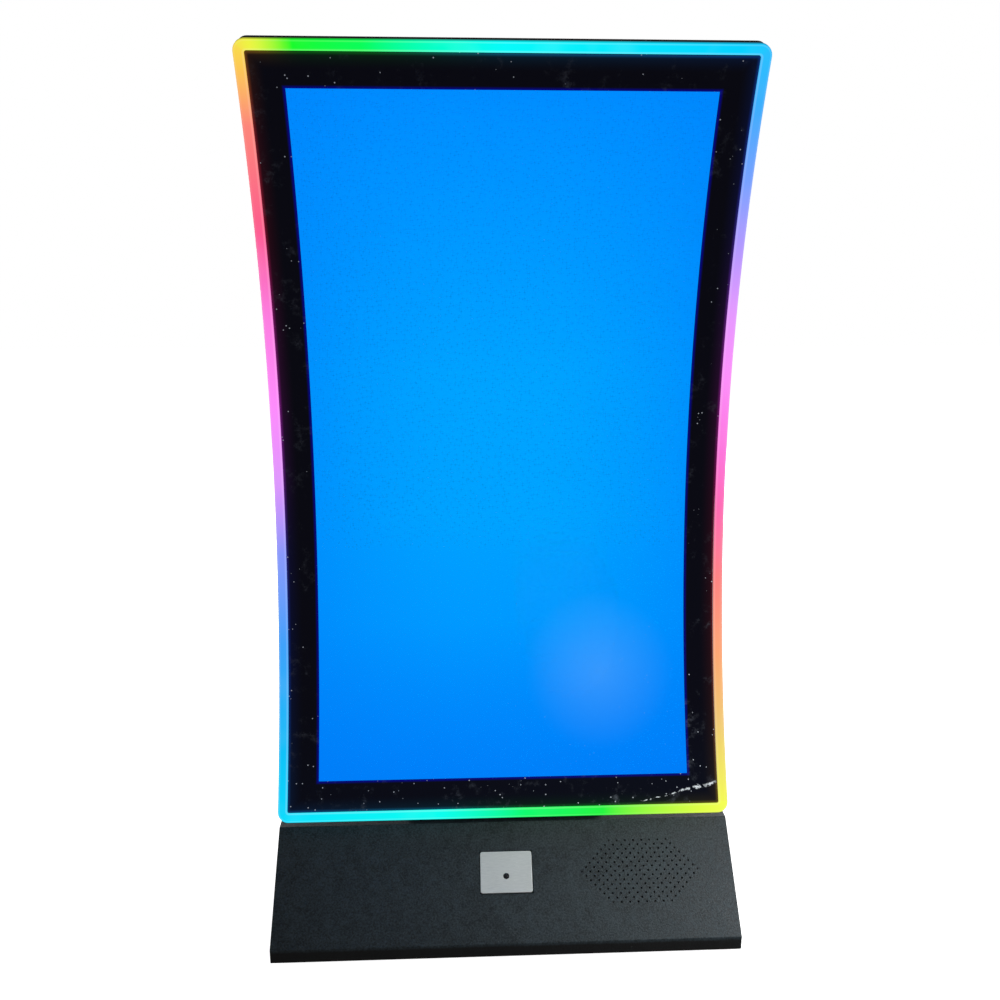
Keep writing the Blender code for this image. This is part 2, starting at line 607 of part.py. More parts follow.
def display():
    halo_half = (ACTIVE_HALF + BORDER + HALO_W, ACTIVE_ARC + BORDER + HALO_W)
    pane_half = (halo_half[0] - HALO_W, halo_half[1] - HALO_W)

    def edge(base, grow, corner):
        return rim(base[0] + grow, base[1] + grow, corner)

    r = GLASS_R
    panel = (ACTIVE_HALF, ACTIVE_ARC)
    tray_in = HALO_OVERHANG + SHEET
    frame_in = tray_in + GAP
    curved_tray("monitor_housing", edge(halo_half, -HALO_OVERHANG, HALO_CORNER - HALO_OVERHANG),
                edge(halo_half, -tray_in, HALO_CORNER - tray_in), r + HALO_BACK + GAP,
                TRAY_BACK_R - SHEET, TRAY_BACK_R, BLACK_STEEL)
    curved_ring("halo_diffuser", edge(halo_half, 0, HALO_CORNER), edge(pane_half, 0, 3 * MM),
                r + HALO_FRONT, r + HALO_BACK, ACRYLIC)
    curved_plate("touch_glass", edge(pane_half, -GAP, 2.7 * MM), r, r + 3 * MM, GLASS)
    curved_ring("glass_gasket", edge(pane_half, -4 * MM, 3 * MM), edge(panel, 8 * MM, 2 * MM),
                r + 3.5 * MM, r + 8.5 * MM, FOAM)
    curved_plate("lcd_panel", edge(panel, 5 * MM, 2 * MM), r + 3.7 * MM, r + 6 * MM, PANEL)
    curved_plate("backlight_unit", edge(panel, 7 * MM, 2 * MM), r + 6.5 * MM, r + 17 * MM,
                 GALVANISED)
    curved_ring("mid_frame", edge(halo_half, -frame_in, HALO_CORNER - frame_in),
                edge(panel, 8 * MM, 2 * MM), r + 9.5 * MM, r + 20.5 * MM, GALVANISED)
    led_strips(halo_half, r + 7.6 * MM)


def led_strips(halo_half, r):
    """Four strips behind the halo, stopping short of its corners."""
    wide, long = halo_half
    reach = wide - HALO_CORNER - 4 * MM
    near, far = 5 * MM, 12 * MM
    for name, sx in (("left", -1), ("right", 1)):
        levels = [-498 * MM] + ARC_LEVELS + [498 * MM]
        xs = sorted((sx * (wide - far), sx * (wide - near)))
        loops = [[on_arc(xs[0], s, r), on_arc(xs[1], s, r), on_arc(xs[1], s, r + 1.2 * MM),
                  on_arc(xs[0], s, r + 1.2 * MM)] for s in levels]
        loft(f"led_strip_{name}", loops, WHITE_BOARD)
    for name, sign in (("bottom", -1), ("top", 1)):
        inner, outer = sign * (long - far), sign * (long - near)
        loops = [[on_arc(x, inner, r), on_arc(x, outer, r), on_arc(x, outer, r + 1.2 * MM),
                  on_arc(x, inner, r + 1.2 * MM)] for x in (-reach, reach)]
        loft(f"led_strip_{name}", loops, WHITE_BOARD)


# ---------------------------------------------------------------- box on the display's back

def electronics_box():
    r = TRAY_BACK_R + 1 * MM
    steps = 10
    front = arc_profile(r, -BOX_ANGLE, BOX_ANGLE, steps)
    cover = slab_x("rear_cover", front + [(BOX_BACK, front[-1][1]), (BOX_BACK, front[0][1])],
                   -BOX_HALF, BOX_HALF, BLACK_STEEL)
    low, high = front[0][1] + SHEET, front[-1][1] - SHEET
    hollow = slab_x("cover_hollow", [(0, low), (BOX_BACK - SHEET, low),
                                     (BOX_BACK - SHEET, high), (0, high)],
                    SHEET - BOX_HALF, BOX_HALF - SHEET)
    entry = rod("cover_cable_hole", 12 * MM, low - 2 * SHEET, low + SHEET, 16,
                centre=(0, 84 * MM + 20 * MM))
    vents = [box(f"cover_vent_{i}", (-90 * MM + i * 20 * MM, BOX_BACK - 2 * SHEET, high - 70 * MM),
                 (-84 * MM + i * 20 * MM, BOX_BACK + SHEET, high - 20 * MM)) for i in range(10)]
    cut(cover, hollow, entry, *vents)
    board_plate()


def board_plate():
    z = CENTRE_Z
    box("board_plate", (-160 * MM, BOARD_Y, z - 150 * MM), (160 * MM, BOARD_Y + SHEET,
                                                           z + 150 * MM), GALVANISED)
    for i in range(4):
        px, pz = (i % 2 * 2 - 1) * 140 * MM, (i // 2 * 2 - 1) * 130 * MM
        tray = CENTRE_Y + (TRAY_BACK_R + 0.5 * MM) * cos(pz / TRAY_BACK_R)
        rod(f"board_post_{i + 1}", 5 * MM, tray + GAP, BOARD_Y - GAP, 8, BRIGHT_STEEL,
            centre=(px, z + pz), axis="Y")
    face = BOARD_Y + SHEET + GAP
    circuit_board("display_driver_board", (-130 * MM, face, z - 60 * MM),
                  (150 * MM, 110 * MM, 1.6 * MM),
                  [(50 * MM, 40 * MM, 32 * MM, 32 * MM, 8 * MM),
                   (8 * MM, 4 * MM, 60 * MM, 12 * MM, 11 * MM),
                   (100 * MM, 20 * MM, 30 * MM, 60 * MM, 14 * MM)], up="Y")
    circuit_board("halo_controller", (50 * MM, face, z - 50 * MM), (80 * MM, 60 * MM, 1.6 * MM),
                  [(10 * MM, 10 * MM, 26 * MM, 26 * MM, 6 * MM),
                   (50 * MM, 8 * MM, 16 * MM, 44 * MM, 10 * MM)], up="Y")


# ---------------------------------------------------------------- neck between base and display

def neck():
    top_angle = -BOX_ANGLE - radians(0.4)
    low_angle = -radians(22.5)
    front = arc_profile(TRAY_BACK_R + 1 * MM, low_angle, top_angle, 5)
    back = arc_profile(TRAY_BACK_R + 5 * MM, low_angle, top_angle, 5)
    foot = BASE_TOP + GAP
    depth = NECK_COVER_BACK - 8 * MM
    for name, sx in (("left", -1), ("right", 1)):
        x0, x1 = sorted((sx * NECK_X, sx * (NECK_X - NECK_WEB)))
        outline = front + [(depth, front[-1][1]), (depth, foot), (front[0][0], foot)]
        web = slab_x(f"neck_bracket_{name}", outline, x0, x1, BLACK_STEEL)
        f0, f1 = sorted((sx * NECK_X, sx * (NECK_X - 34 * MM)))
        flange = slab_x(f"neck_flange_{name}", front + back[::-1], f0, f1)
        sole = box(f"neck_sole_{name}", (f0, front[0][0], foot), (f1, depth, foot + 4 * MM))
        fuse(web, flange, sole)
    neck_cover(front, foot)


def neck_cover(front, foot):
    """Folded cover round the brackets, open towards the display, above and below."""
    x = NECK_X + GAP
    top = front[-1][1]
    outer = front + [(NECK_COVER_BACK, top), (NECK_COVER_BACK, foot), (front[0][0], foot)]
    cover = slab_x("neck_cover", outer, -x - 1.5 * MM, x + 1.5 * MM, BLACK_STEEL)
    inner = box("neck_hollow", (-x, -0.2, foot - MM), (x, NECK_COVER_BACK - 1.5 * MM, top + MM))
    cut(cover, inner)


# ---------------------------------------------------------------- leads

def deck_point(x, t, n):
    """World place of a point t up the slope and n above the deck's outer face."""
    return (x, FRONT + t * cos(DECK_ANGLE) - n * sin(DECK_ANGLE),
            LIP_TOP + t * sin(DECK_ANGLE) + n * cos(DECK_ANGLE))


def leads():
    """Leads that the machine holds along their whole length, straight for a bit at each end."""
    ports = BOARD_Z + (1.6 + 16) * MM + GAP
    entry = CENTRE_Z - (TRAY_BACK_R + MM) * sin(BOX_ANGLE)
    plug = CENTRE_Z - 56 * MM - GAP
    tag = SPEAKER_X + 26 * MM
    cable("display_cable",
          [(-120 * MM, 123 * MM, ports), (-120 * MM, 123 * MM, 45 * MM),
           (-120 * MM, 123 * MM, 60 * MM), (-60 * MM, 96 * MM, 104 * MM),
           (-8 * MM, 66 * MM, 122 * MM), (0, 62 * MM, BASE_TOP),
           (0, 76 * MM, 230 * MM), (0, 98 * MM, 350 * MM), (0, 104 * MM, entry),
           (-20 * MM, 112 * MM, entry + 80 * MM), (-84 * MM, 108 * MM, plug - 60 * MM),
           (-92 * MM, 96 * MM, plug - 30 * MM), (-92 * MM, 96 * MM, plug - 12 * MM),
           (-92 * MM, 96 * MM, plug)],
          3 * MM, RUBBER)
    cable("speaker_lead",
          [(270 * MM, 41 * MM, 18.6 * MM), (270 * MM, 41 * MM, 26 * MM),
           (270 * MM, 41 * MM, 34 * MM), (244 * MM, 0, 52 * MM), (220 * MM, -40 * MM, 44 * MM),
           deck_point(tag, SPEAKER_T, -54 * MM), deck_point(tag, SPEAKER_T, -47 * MM),
           deck_point(tag, SPEAKER_T, -40.5 * MM)], 1.6 * MM, RUBBER)
    cable("button_lead",
          [deck_point(0, BUTTON_T, SWITCH_BOTTOM - GAP),
           deck_point(0, BUTTON_T, SWITCH_BOTTOM - 6 * MM),
           deck_point(0, BUTTON_T, SWITCH_BOTTOM - 12 * MM), (-20 * MM, -20 * MM, 34 * MM),
           (-60 * MM, 14 * MM, 44 * MM), (-100 * MM, 46 * MM, 50 * MM),
           (-106 * MM, 50 * MM, 42 * MM), (-106 * MM, 50 * MM, 34 * MM),
           (-106 * MM, 50 * MM, 27 * MM)], 1.6 * MM, RUBBER)
    cable("mains_lead",
          [(262 * MM, 117.6 * MM, 58 * MM), (262 * MM, 108 * MM, 58 * MM),
           (262 * MM, 98 * MM, 58 * MM), (258 * MM, 60 * MM, 40 * MM),
           (242 * MM, 40 * MM, 28 * MM), (231 * MM, 40 * MM, 28 * MM),
           (220.5 * MM, 40 * MM, 28 * MM)], 3 * MM, RUBBER)


clear_scene()
DECK = bpy.data.objects.new("deck_plane", None)
bpy.context.collection.objects.link(DECK)
DECK.location = (0, FRONT, LIP_TOP)
DECK.rotation_euler = (DECK_ANGLE, 0, 0)
base_shell()
bottom_plate()
feet()
speaker()
play_button()
button_housing()
button_spring()
button_switch()
base_electronics()
fan()
fan_guard()
power_inlet()
service_door()
hinge()
lock()
display()
electronics_box()
neck()
leads()
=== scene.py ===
from contextlib import contextmanager
from functools import partialmethod
from math import cos, pi, radians, sin

import bmesh
import bpy
import numpy as np
from mathutils import Matrix, Vector


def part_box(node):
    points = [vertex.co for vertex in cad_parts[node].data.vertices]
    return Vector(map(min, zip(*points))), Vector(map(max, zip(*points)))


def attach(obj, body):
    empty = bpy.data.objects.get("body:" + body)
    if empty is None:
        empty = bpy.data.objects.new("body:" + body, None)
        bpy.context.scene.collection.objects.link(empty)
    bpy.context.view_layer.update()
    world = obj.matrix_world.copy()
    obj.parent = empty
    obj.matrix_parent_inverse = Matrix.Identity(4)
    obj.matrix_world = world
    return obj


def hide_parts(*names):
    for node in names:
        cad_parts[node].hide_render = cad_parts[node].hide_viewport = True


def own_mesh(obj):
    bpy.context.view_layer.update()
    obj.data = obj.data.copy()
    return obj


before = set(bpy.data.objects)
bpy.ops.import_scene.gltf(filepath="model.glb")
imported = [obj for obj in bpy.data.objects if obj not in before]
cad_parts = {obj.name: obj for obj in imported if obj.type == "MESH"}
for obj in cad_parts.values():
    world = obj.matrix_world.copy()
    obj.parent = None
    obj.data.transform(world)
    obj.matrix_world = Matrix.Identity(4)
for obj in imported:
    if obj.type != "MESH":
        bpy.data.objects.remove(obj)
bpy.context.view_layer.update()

MM = 0.001
ROOT = "machine"

# Curved display. Depth is measured from the glass face along the arc's radius, backwards.
GLASS_R = 1213 * MM
PICTURE = (264.7 * MM, 470.6 * MM)        # half across, half along the arc
BORDER = 41.8 * MM
HALO_W = 13 * MM
HALO_CORNER = 15 * MM
HALO_OVERHANG = 1.5 * MM
HALO_DEEP = 4.5 * MM
TRAY_DEPTH = 23 * MM
EDGE_GAP = 0.3 * MM                       # between the pane and the frame round it
PANE = (PICTURE[0] + BORDER, PICTURE[1] + BORDER)
HALO = (PANE[0] + HALO_W, PANE[1] + HALO_W)
GLASS_LOW, GLASS_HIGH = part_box("touch_glass")
CENTRE_Z = (GLASS_LOW[2] + GLASS_HIGH[2]) / 2
# the foremost line of the pane is the top and bottom edge of its front face
CENTRE_Y = GLASS_LOW[1] - GLASS_R * cos((PANE[1] - EDGE_GAP) / GLASS_R)

# Console
SHELL_LOW, SHELL_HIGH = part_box("base_shell")
FRONT = SHELL_LOW[1]
LIP_TOP = 23.5 * MM
DECK_ANGLE = radians(46.5)
BUTTON_T = 92.2 * MM
BUTTON = (36.25 * MM, 27.45 * MM)
LENS_T = BUTTON_T - 5.4 * MM
SPEAKER = (188.6 * MM, 89.9 * MM)
SPEAKER_SQUASH = 0.6                      # short axis over long axis of the oval
HOLE_PITCH = 11.7 * MM
HOLE_ROWS = 15
HOLE_R = 1.4 * MM


# ---- shader arithmetic

class Wire:
    """A socket of a look, usable in sums, products and comparisons."""

    def __init__(self, look, socket):
        self.look, self.socket = look, socket

    def _calc(self, operation, other=0, swapped=False):
        pair = (other, self) if swapped else (self, other)
        return self.look.node("ShaderNodeMath", {"operation": operation}, pair)

    __add__ = __radd__ = partialmethod(_calc, "ADD")
    __mul__ = __rmul__ = partialmethod(_calc, "MULTIPLY")
    __sub__ = partialmethod(_calc, "SUBTRACT")
    __rsub__ = partialmethod(_calc, "SUBTRACT", swapped=True)
    __truediv__ = partialmethod(_calc, "DIVIDE")
    __pow__ = partialmethod(_calc, "POWER")
    __gt__ = partialmethod(_calc, "GREATER_THAN")
    __lt__ = partialmethod(_calc, "LESS_THAN")
    __abs__ = partialmethod(_calc, "ABSOLUTE")
    fraction = partialmethod(_calc, "FRACT")


class Finish:
    """A material: its Principled shader, and one method that adds any other node."""

    def __init__(self, name, **constants):
        self.material = bpy.data.materials.new(name)
        self.material.use_nodes = True
        self.tree = self.material.node_tree
        self.shader = self.tree.nodes["Principled BSDF"]
        for socket, value in constants.items():
            self.set(socket.replace("_", " ").title().replace("Ior", "IOR"), value)

    def set(self, socket, value):
        self._feed(self.shader.inputs[socket], value)

    def _feed(self, socket, value):
        if isinstance(value, Wire):
            self.tree.links.new(value.socket, socket)
        elif hasattr(value, "__len__") and socket.type == "RGBA":
            socket.default_value = (*value[:3], 1)
        else:
            socket.default_value = value

    def node(self, kind, settings=None, feeds=(), out=0):
        made = self.tree.nodes.new(kind)
        for key, value in (settings or {}).items():
            if key == "stops":
                self._set_stops(made.color_ramp, value)
            else:
                setattr(made, key, value)
        pairs = feeds.items() if isinstance(feeds, dict) else enumerate(feeds)
        for key, value in pairs:
            self._feed(made.inputs[key], value)
        return Wire(self, made.outputs[out])

    @staticmethod
    def _set_stops(ramp, stops):
        while len(ramp.elements) < len(stops):
            ramp.elements.new(0.5)
        for element, (place, colour) in zip(ramp.elements, sorted(stops)):
            element.position = place
            element.color = (*colour, 1)

    def place(self, axis=None, kind="Object"):
        """Object coordinates, or one of their axes."""
        spot = self.node("ShaderNodeTexCoord", out=kind)
        if axis is None:
            return spot
        return self.node("ShaderNodeSeparateXYZ", feeds=[spot], out="XYZ".index(axis))

    def uv(self, axis):
        return self.place(axis, "UV")

    def noise(self, scale, detail=2.0, rough=0.5, spot=None):
        return self.node("ShaderNodeTexNoise", {}, {"Vector": spot or self.place(), "Scale": scale,
                                                    "Detail": detail, "Roughness": rough})

    def cells(self, scale, out=0):
        """Distance to the nearest of scattered points, or with out=1 a colour for each cell."""
        return self.node("ShaderNodeTexVoronoi", {}, {"Vector": self.place(), "Scale": scale}, out)

    def squeeze(self, value, low, high, to_low=0.0, to_high=1.0):
        """Maps low..high to to_low..to_high and stops there."""
        return self.node("ShaderNodeMapRange", {"clamp": True},
                         {"Value": value, "From Min": low, "From Max": high,
                          "To Min": to_low, "To Max": to_high})

    def mix(self, factor, first, second, blend="MIX"):
        made = self.tree.nodes.new("ShaderNodeMix")
        made.data_type = "RGBA"
        made.blend_type = blend
        for key, value in ((0, factor), (6, first), (7, second)):
            self._feed(made.inputs[key], value)
        return Wire(self, made.outputs[2])

    def painted(self, colour, roughness=None, height=None, depth=0.0):
        """Sets colour, roughness and relief, and gives the material. Depth is the height in
        metres of a step from 0 to 1 in height."""
        self.set("Base Color", colour)
        if roughness is not None:
            self.set("Roughness", roughness)
        if height is not None:
            self.set("Normal", self.node("ShaderNodeBump", {}, {
                "Height": height, "Distance": depth, "Strength": 1.0}))
        return self.material

    def glowing(self, light):
        self.set("Emission Color", light)
        self.set("Emission Strength", 1.0)


def srgb(red, green, blue):
    """Linear colour from screen values of 0 to 255."""
    parts = [c / 255 for c in (red, green, blue)]
    return tuple(c / 12.92 if c <= 0.04045 else ((c + 0.055) / 1.055) ** 2.4 for c in parts)


def shade(colour, times):
    return tuple(min(1, c * times) for c in colour)


# ---- finishes

def powder_coat(name, colour, grain=900, dusty=0.0, lip=None):
    """Fine-textured powder paint: a pebbled relief, speckled tone, painted shade on the front face
    below lip height, and a little pale dust."""
    look = Finish(name, specular_ior_level=0.45)
    cloud = look.noise(9, 4, 0.6)
    rub = look.noise(70, 3, 0.7)
    pebble = look.noise(grain, 3, 0.75)
    tone = look.squeeze(cloud * 0.14 + rub * 0.18 + pebble * 0.68, 0.39, 0.61)
    paint = look.mix(tone, shade(colour, 0.4), shade(colour, 1.75))
    if lip:
        # painted shade: the front face below the lip's top is darkened near black, as if unlit
        lip_shade = look.squeeze(look.place("Z") + 0.004 * cloud, lip, lip - 0.003)
        lip_shade = lip_shade * (look.place("Y") < FRONT + 0.004)
        paint = look.mix(lip_shade * 0.85, paint, (0.008, 0.0065, 0.006))
    if dusty:
        speck = look.squeeze(look.cells(160), 0.10, 0.04) * (look.noise(23, 2) > 0.60)
        paint = look.mix(speck * dusty, paint, (0.35, 0.37, 0.4))
    return look.painted(paint, look.squeeze(rub, 0.3, 0.7, 0.44, 0.6), pebble, 0.5 * MM)


def plastic(name, colour, roughness=0.45, grain=1500):
    """Moulded plastic with a fine spark-eroded grain."""
    look = Finish(name)
    tone = look.squeeze(look.noise(40, 3), 0.3, 0.7)
    gloss = look.squeeze(look.noise(90, 2), 0.3, 0.7, roughness - 0.07, roughness + 0.07)
    return look.painted(look.mix(tone, shade(colour, 0.8), shade(colour, 1.25)), gloss,
                          look.noise(grain, 1), 0.05 * MM)


def rubber(name, colour=(0.018, 0.018, 0.019), roughness=0.75):
    """Matt rubber with fine scuffs that catch pale dust."""
    look = Finish(name, specular_ior_level=0.3)
    scuff = look.squeeze(look.noise(260, 4, 0.7), 0.45, 0.75)
    return look.painted(look.mix(scuff * 0.5, colour, shade(colour, 3)),
                          roughness + 0.1 * scuff, scuff, 0.08 * MM)


def zinc(name, colour=(0.5, 0.52, 0.54)):
    """Galvanised sheet: crystal spangles of slightly different grey and gloss."""
    look = Finish(name, metallic=0.9)
    grey = look.node("ShaderNodeSeparateXYZ", feeds=[look.cells(130, 1)])
    return look.painted(look.mix(grey, shade(colour, 0.75), colour),
                          look.squeeze(grey, 0, 1, 0.3, 0.48), look.noise(400, 2), 0.02 * MM)


def vented_sheet(name):
    """Galvanised sheet with rows of round vent holes: a dot in every cell of a square grid, painted
    near-black as the shade inside the case.
    """
    look = Finish(name, metallic=0.85)
    cloud = look.squeeze(look.noise(50, 3), 0.3, 0.7)
    across = (look.place("X") * 125).fraction() - 0.5
    along = (look.place("Y") * 125).fraction() - 0.5
    hole = look.squeeze((across ** 2 + along ** 2) ** 0.5, 0.34, 0.28)
    hole = hole * (look.place("Z") > 0.0483)
    sheet = look.mix(cloud, (0.36, 0.38, 0.4), (0.52, 0.54, 0.56))
    # painted shade: each vent dot is near-black, standing for the dark inside of the case
    return look.painted(look.mix(hole, sheet, (0.004, 0.004, 0.004)),
                          look.squeeze(cloud, 0, 1, 0.3, 0.45), 1 - hole, 0.4 * MM)


def plated(name, colour=(0.7, 0.71, 0.72), roughness=0.22):
    """Bright plating with hairline polishing marks and faint tarnish."""
    look = Finish(name, metallic=1.0)
    tarnish = look.squeeze(look.noise(60, 4), 0.4, 0.75)
    return look.painted(look.mix(tarnish, colour, shade(colour, 0.7)),
                          roughness + 0.15 * tarnish, look.noise(900, 2), 0.01 * MM)


def satin_silver():
    """Button cap: satin silver with faint brushing across, smudges and a few scratches."""
    look = Finish("satin_silver", metallic=0.12, specular_ior_level=0.5)
    stretched = look.node("ShaderNodeMapping", {}, {
        "Vector": look.place(), "Scale": (12, 240, 240)})
    grain = look.noise(9, 3, 0.6, stretched)
    smudge = look.squeeze(look.noise(55, 3), 0.4, 0.7)
    silver = look.mix(look.squeeze(grain, 0.3, 0.7), srgb(217, 218, 220), srgb(236, 236, 237))
    speck = look.squeeze(look.cells(190), 0.13, 0.06) * (look.noise(48, 2) > 0.60)
    return look.painted(look.mix(speck * 0.8, silver, (0.95, 0.95, 0.95)),
                          0.34 + 0.14 * smudge, grain, 0.02 * MM)


def circuit(name):
    """Green solder mask over copper tracks: a ruled maze of narrow lighter lines and pads."""
    look = Finish(name, roughness=0.35)
    lanes = look.node("ShaderNodeTexBrick", {}, {
        "Vector": look.place(), "Scale": 160, "Mortar Size": 0.06, "Color1": (0.01, 0.1, 0.04),
        "Color2": (0.014, 0.13, 0.055), "Mortar": (0.03, 0.26, 0.11)})
    pads = look.squeeze(look.cells(420), 0.22, 0.16)
    solder = pads * (look.noise(30, 2) > 0.52)
    return look.painted(look.mix(solder, lanes, (0.55, 0.5, 0.36)),
                          look.squeeze(look.noise(25), 0.3, 0.7, 0.28, 0.42), pads, 0.05 * MM)


HALO_STOPS = [   # place round the frame, from the lower right corner up and anticlockwise
    (0.0, (240, 250, 80)), (0.03, (236, 196, 112)), (0.055, (250, 160, 112)),
    (0.08, (252, 128, 128)), (0.105, (253, 104, 178)), (0.125, (251, 116, 220)),
    (0.15, (252, 142, 250)), (0.17, (228, 152, 255)), (0.19, (180, 152, 255)),
    (0.21, (122, 160, 255)), (0.232, (60, 172, 252)), (0.262, (4, 208, 255)),
    (0.375, (4, 250, 250)), (0.405, (4, 255, 205)),
    (0.44, (6, 252, 90)), (0.474, (24, 250, 40)), (0.491, (236, 246, 66)),
    (0.506, (252, 205, 80)), (0.523, (252, 134, 122)), (0.553, (252, 92, 140)),
    (0.58, (252, 124, 222)), (0.61, (254, 140, 252)), (0.635, (222, 148, 252)),
    (0.66, (136, 152, 250)), (0.69, (64, 160, 250)), (0.72, (14, 184, 248)),
    (0.76, (6, 226, 252)), (0.84, (6, 252, 236)), (0.885, (8, 248, 110)),
    (0.93, (34, 241, 62)), (0.985, (220, 252, 66)),
    (1.0, (240, 250, 80))]


def rainbow(look):
    """The frame's colour round its length, read from the piece's own map."""
    return look.node("ShaderNodeValToRGB",
                       {"stops": [(place, srgb(*colour)) for place, colour in HALO_STOPS]},
                       [look.uv("X")])


def halo_light():
    """Frosted acrylic lit from behind: full colour in the middle, paler along both bevels, and
    dimmer on the edge that faces out."""
    look = Finish("halo_light", roughness=0.3, specular_ior_level=0.08)
    hue = rainbow(look)
    across = look.uv("Y")
    inner = look.squeeze(abs(across - 0.10), 0.12, 0.0)
    outer = look.squeeze(abs(across - 0.86), 0.08, 0.0)
    patch = look.squeeze(look.noise(14, 2), 0.55, 0.8)
    pale = inner * 0.11 + outer * 0.07 + patch * 0.03
    glow = look.mix(pale, hue, (1.0, 1.0, 0.94))
    rim = look.squeeze(across, 0.955, 1.0)
    glow = look.mix(rim * 0.55, glow, (0.0, 0.0, 0.0))
    look.glowing(glow)
    return look.painted(look.mix(0.04, (0.004, 0.004, 0.004), hue), None,
                          look.noise(700, 2), 0.02 * MM)


def black_print():
    """Back-printed black glass: finger smears, dust and a broken scuff across the lower right corner,
    with painted light: a painted reflection of the frame's light along its edge, the picture's blue
    painted round the window, and a faint painted glow on the smears, dust and scuff."""
    look = Finish("black_print", specular_ior_level=0.2)
    smear = look.squeeze(look.noise(21, 6, 0.7), 0.52, 0.80)
    swirl = look.squeeze(look.noise(85, 4, 0.7), 0.50, 0.75)
    low = look.squeeze(look.place("Z"), 0.30, 0.20)
    ink = look.mix(smear * swirl, look.mix(low, (0.0012, 0.0012, 0.0030), (0.0016, 0.0026, 0.0060)),
                     (0.12, 0.13, 0.16))
    dust = look.squeeze(look.cells(115), 0.12, 0.05) * (look.noise(33, 2) > 0.57 - low * 0.13)
    ink = look.mix(dust * 0.8, ink, (0.5, 0.52, 0.58))

    x, z = look.place("X"), look.place("Z")
    wobble = look.noise(60, 3) * 0.008
    line = abs(z - (0.1743 + (x - 0.2003) * 0.2) - wobble + 0.004)
    run = look.squeeze(x, 0.19, 0.205) * look.squeeze(x, 0.305, 0.300)
    band = (z < 0.2) * (z > 0.16)
    broken = look.squeeze(look.noise(140, 3, 0.7), 0.46, 0.56)
    wide = look.squeeze(x, 0.245, 0.265, 0.0009, 0.0024)
    scuff = look.squeeze(line / wide, 1.0, 0.3) * run * band * broken
    ink = look.mix(scuff, ink, (0.62, 0.64, 0.66))
    inward = look.uv("Y")
    # painted reflection: the frame's light shown as a glow on the glass along its edge
    halo_reflection = look.squeeze(inward, 0.10, 0.0) ** 1.6 * 0.16 + look.squeeze(inward, 0.5, 0.0) ** 1.8 * 0.024
    hue = rainbow(look)
    deep = look.mix(1.0, look.mix(0.85, hue, hue, "MULTIPLY"), (0.9, 0.5, 1.0), "MULTIPLY")
    halo_reflection_glow = look.mix(halo_reflection, (0, 0, 0), deep)
    # painted light: the picture's blue glows on the print next to the window
    edge = look.squeeze(inward, 0.90, 1.0) ** 1.4
    blue = look.mix(edge, (0.0014, 0.0014, 0.0038), srgb(0, 2, 140))
    light = look.mix(1.0, halo_reflection_glow, blue, "ADD")
    # painted sheen: the smears glow faintly
    light = look.mix(smear * swirl * 0.7, light, (0.03, 0.033, 0.045))
    # painted glints: the dust and the scuff glow as if lit
    look.glowing(look.mix(dust * 0.7 + scuff * 0.8, light, (0.30, 0.32, 0.37)))
    return look.painted(ink, 0.05 + 0.22 * smear + 0.3 * scuff)


def clear_pane():
    """Clear cover glass over the picture."""
    look = Finish("clear_pane", transmission_weight=1.0, ior=1.05, specular_ior_level=0.2)
    smear = look.squeeze(look.noise(18, 4), 0.45, 0.8)
    return look.painted(look.mix(smear * 0.03, (1, 1, 1), (0.9, 0.93, 0.97)), 0.0)


def lit_picture():
    """The plain blue picture: brighter in its middle, deeper at the rim, a painted reflection as a
    pale patch low right, with a sprinkle of dust painted as glints within it."""
    look = Finish("lit_picture", roughness=0.6, specular_ior_level=0.0)
    x = look.place("X")
    z = look.place("Z") - CENTRE_Z
    tall = look.squeeze(abs(z), 0.10, 0.46)
    wide = look.squeeze(abs(x), 0.05, PICTURE[0])
    body = look.mix(tall, srgb(0, 161, 255), srgb(0, 140, 255))
    body = look.mix(wide ** 1.5 * 0.55, body, srgb(0, 130, 250))
    low = look.squeeze(z, -0.25, -0.47)
    body = look.mix(low * 0.7, body, srgb(0, 120, 246))
    # painted reflection: a pale round patch low right, and dust specks lit only inside it
    away = ((x - 0.14) ** 2 + (z + 0.32) ** 2) ** 0.5
    painted_reflection = look.squeeze(away, 0.11, 0.0) ** 1.3
    body = look.mix(painted_reflection * 0.12, body, srgb(150, 210, 255))
    dust_glints = look.squeeze(look.cells(125), 0.075, 0.03) * (look.noise(30, 2) > 0.52)
    near = look.squeeze(away, 0.16, 0.03)
    body = look.mix(dust_glints * near * 0.75, body, srgb(170, 225, 255))
    look.glowing(body)
    return look.painted(look.mix(tall, (0.0, 0.004, 0.01), (0.0, 0.003, 0.008)))


def smoked_lens():
    """Dark smoked lens."""
    look = Finish("smoked_lens", roughness=0.12, coat_weight=0.5, coat_roughness=0.05)
    haze = look.squeeze(look.noise(500, 2), 0.4, 0.7)
    return look.painted(look.mix(haze, (0.006, 0.006, 0.008), (0.03, 0.03, 0.035)))


def paper_cone():
    """Pressed black paper with short felted fibres."""
    look = Finish("paper_cone", roughness=0.9)
    fibre = look.noise(600, 5, 0.8)
    return look.painted(look.mix(fibre, (0.004, 0.004, 0.004), (0.02, 0.02, 0.019)), None,
                          fibre, 0.15 * MM)


def led_tape():
    """White flexible circuit with yellow light chips spaced along it."""
    look = Finish("led_tape", roughness=0.5)
    chip = look.squeeze(look.cells(100), 0.28, 0.22)
    return look.painted(look.mix(chip, (0.72, 0.72, 0.68), (0.75, 0.55, 0.12)), None,
                          chip, 0.3 * MM)


def sheath(name):
    """Soft vinyl sheath with faint extrusion ripples."""
    look = Finish(name, roughness=0.55)
    ripple = look.noise(220, 3)
    return look.painted(look.mix(ripple, (0.01, 0.01, 0.011), (0.035, 0.035, 0.037)), None,
                          ripple, 0.05 * MM)


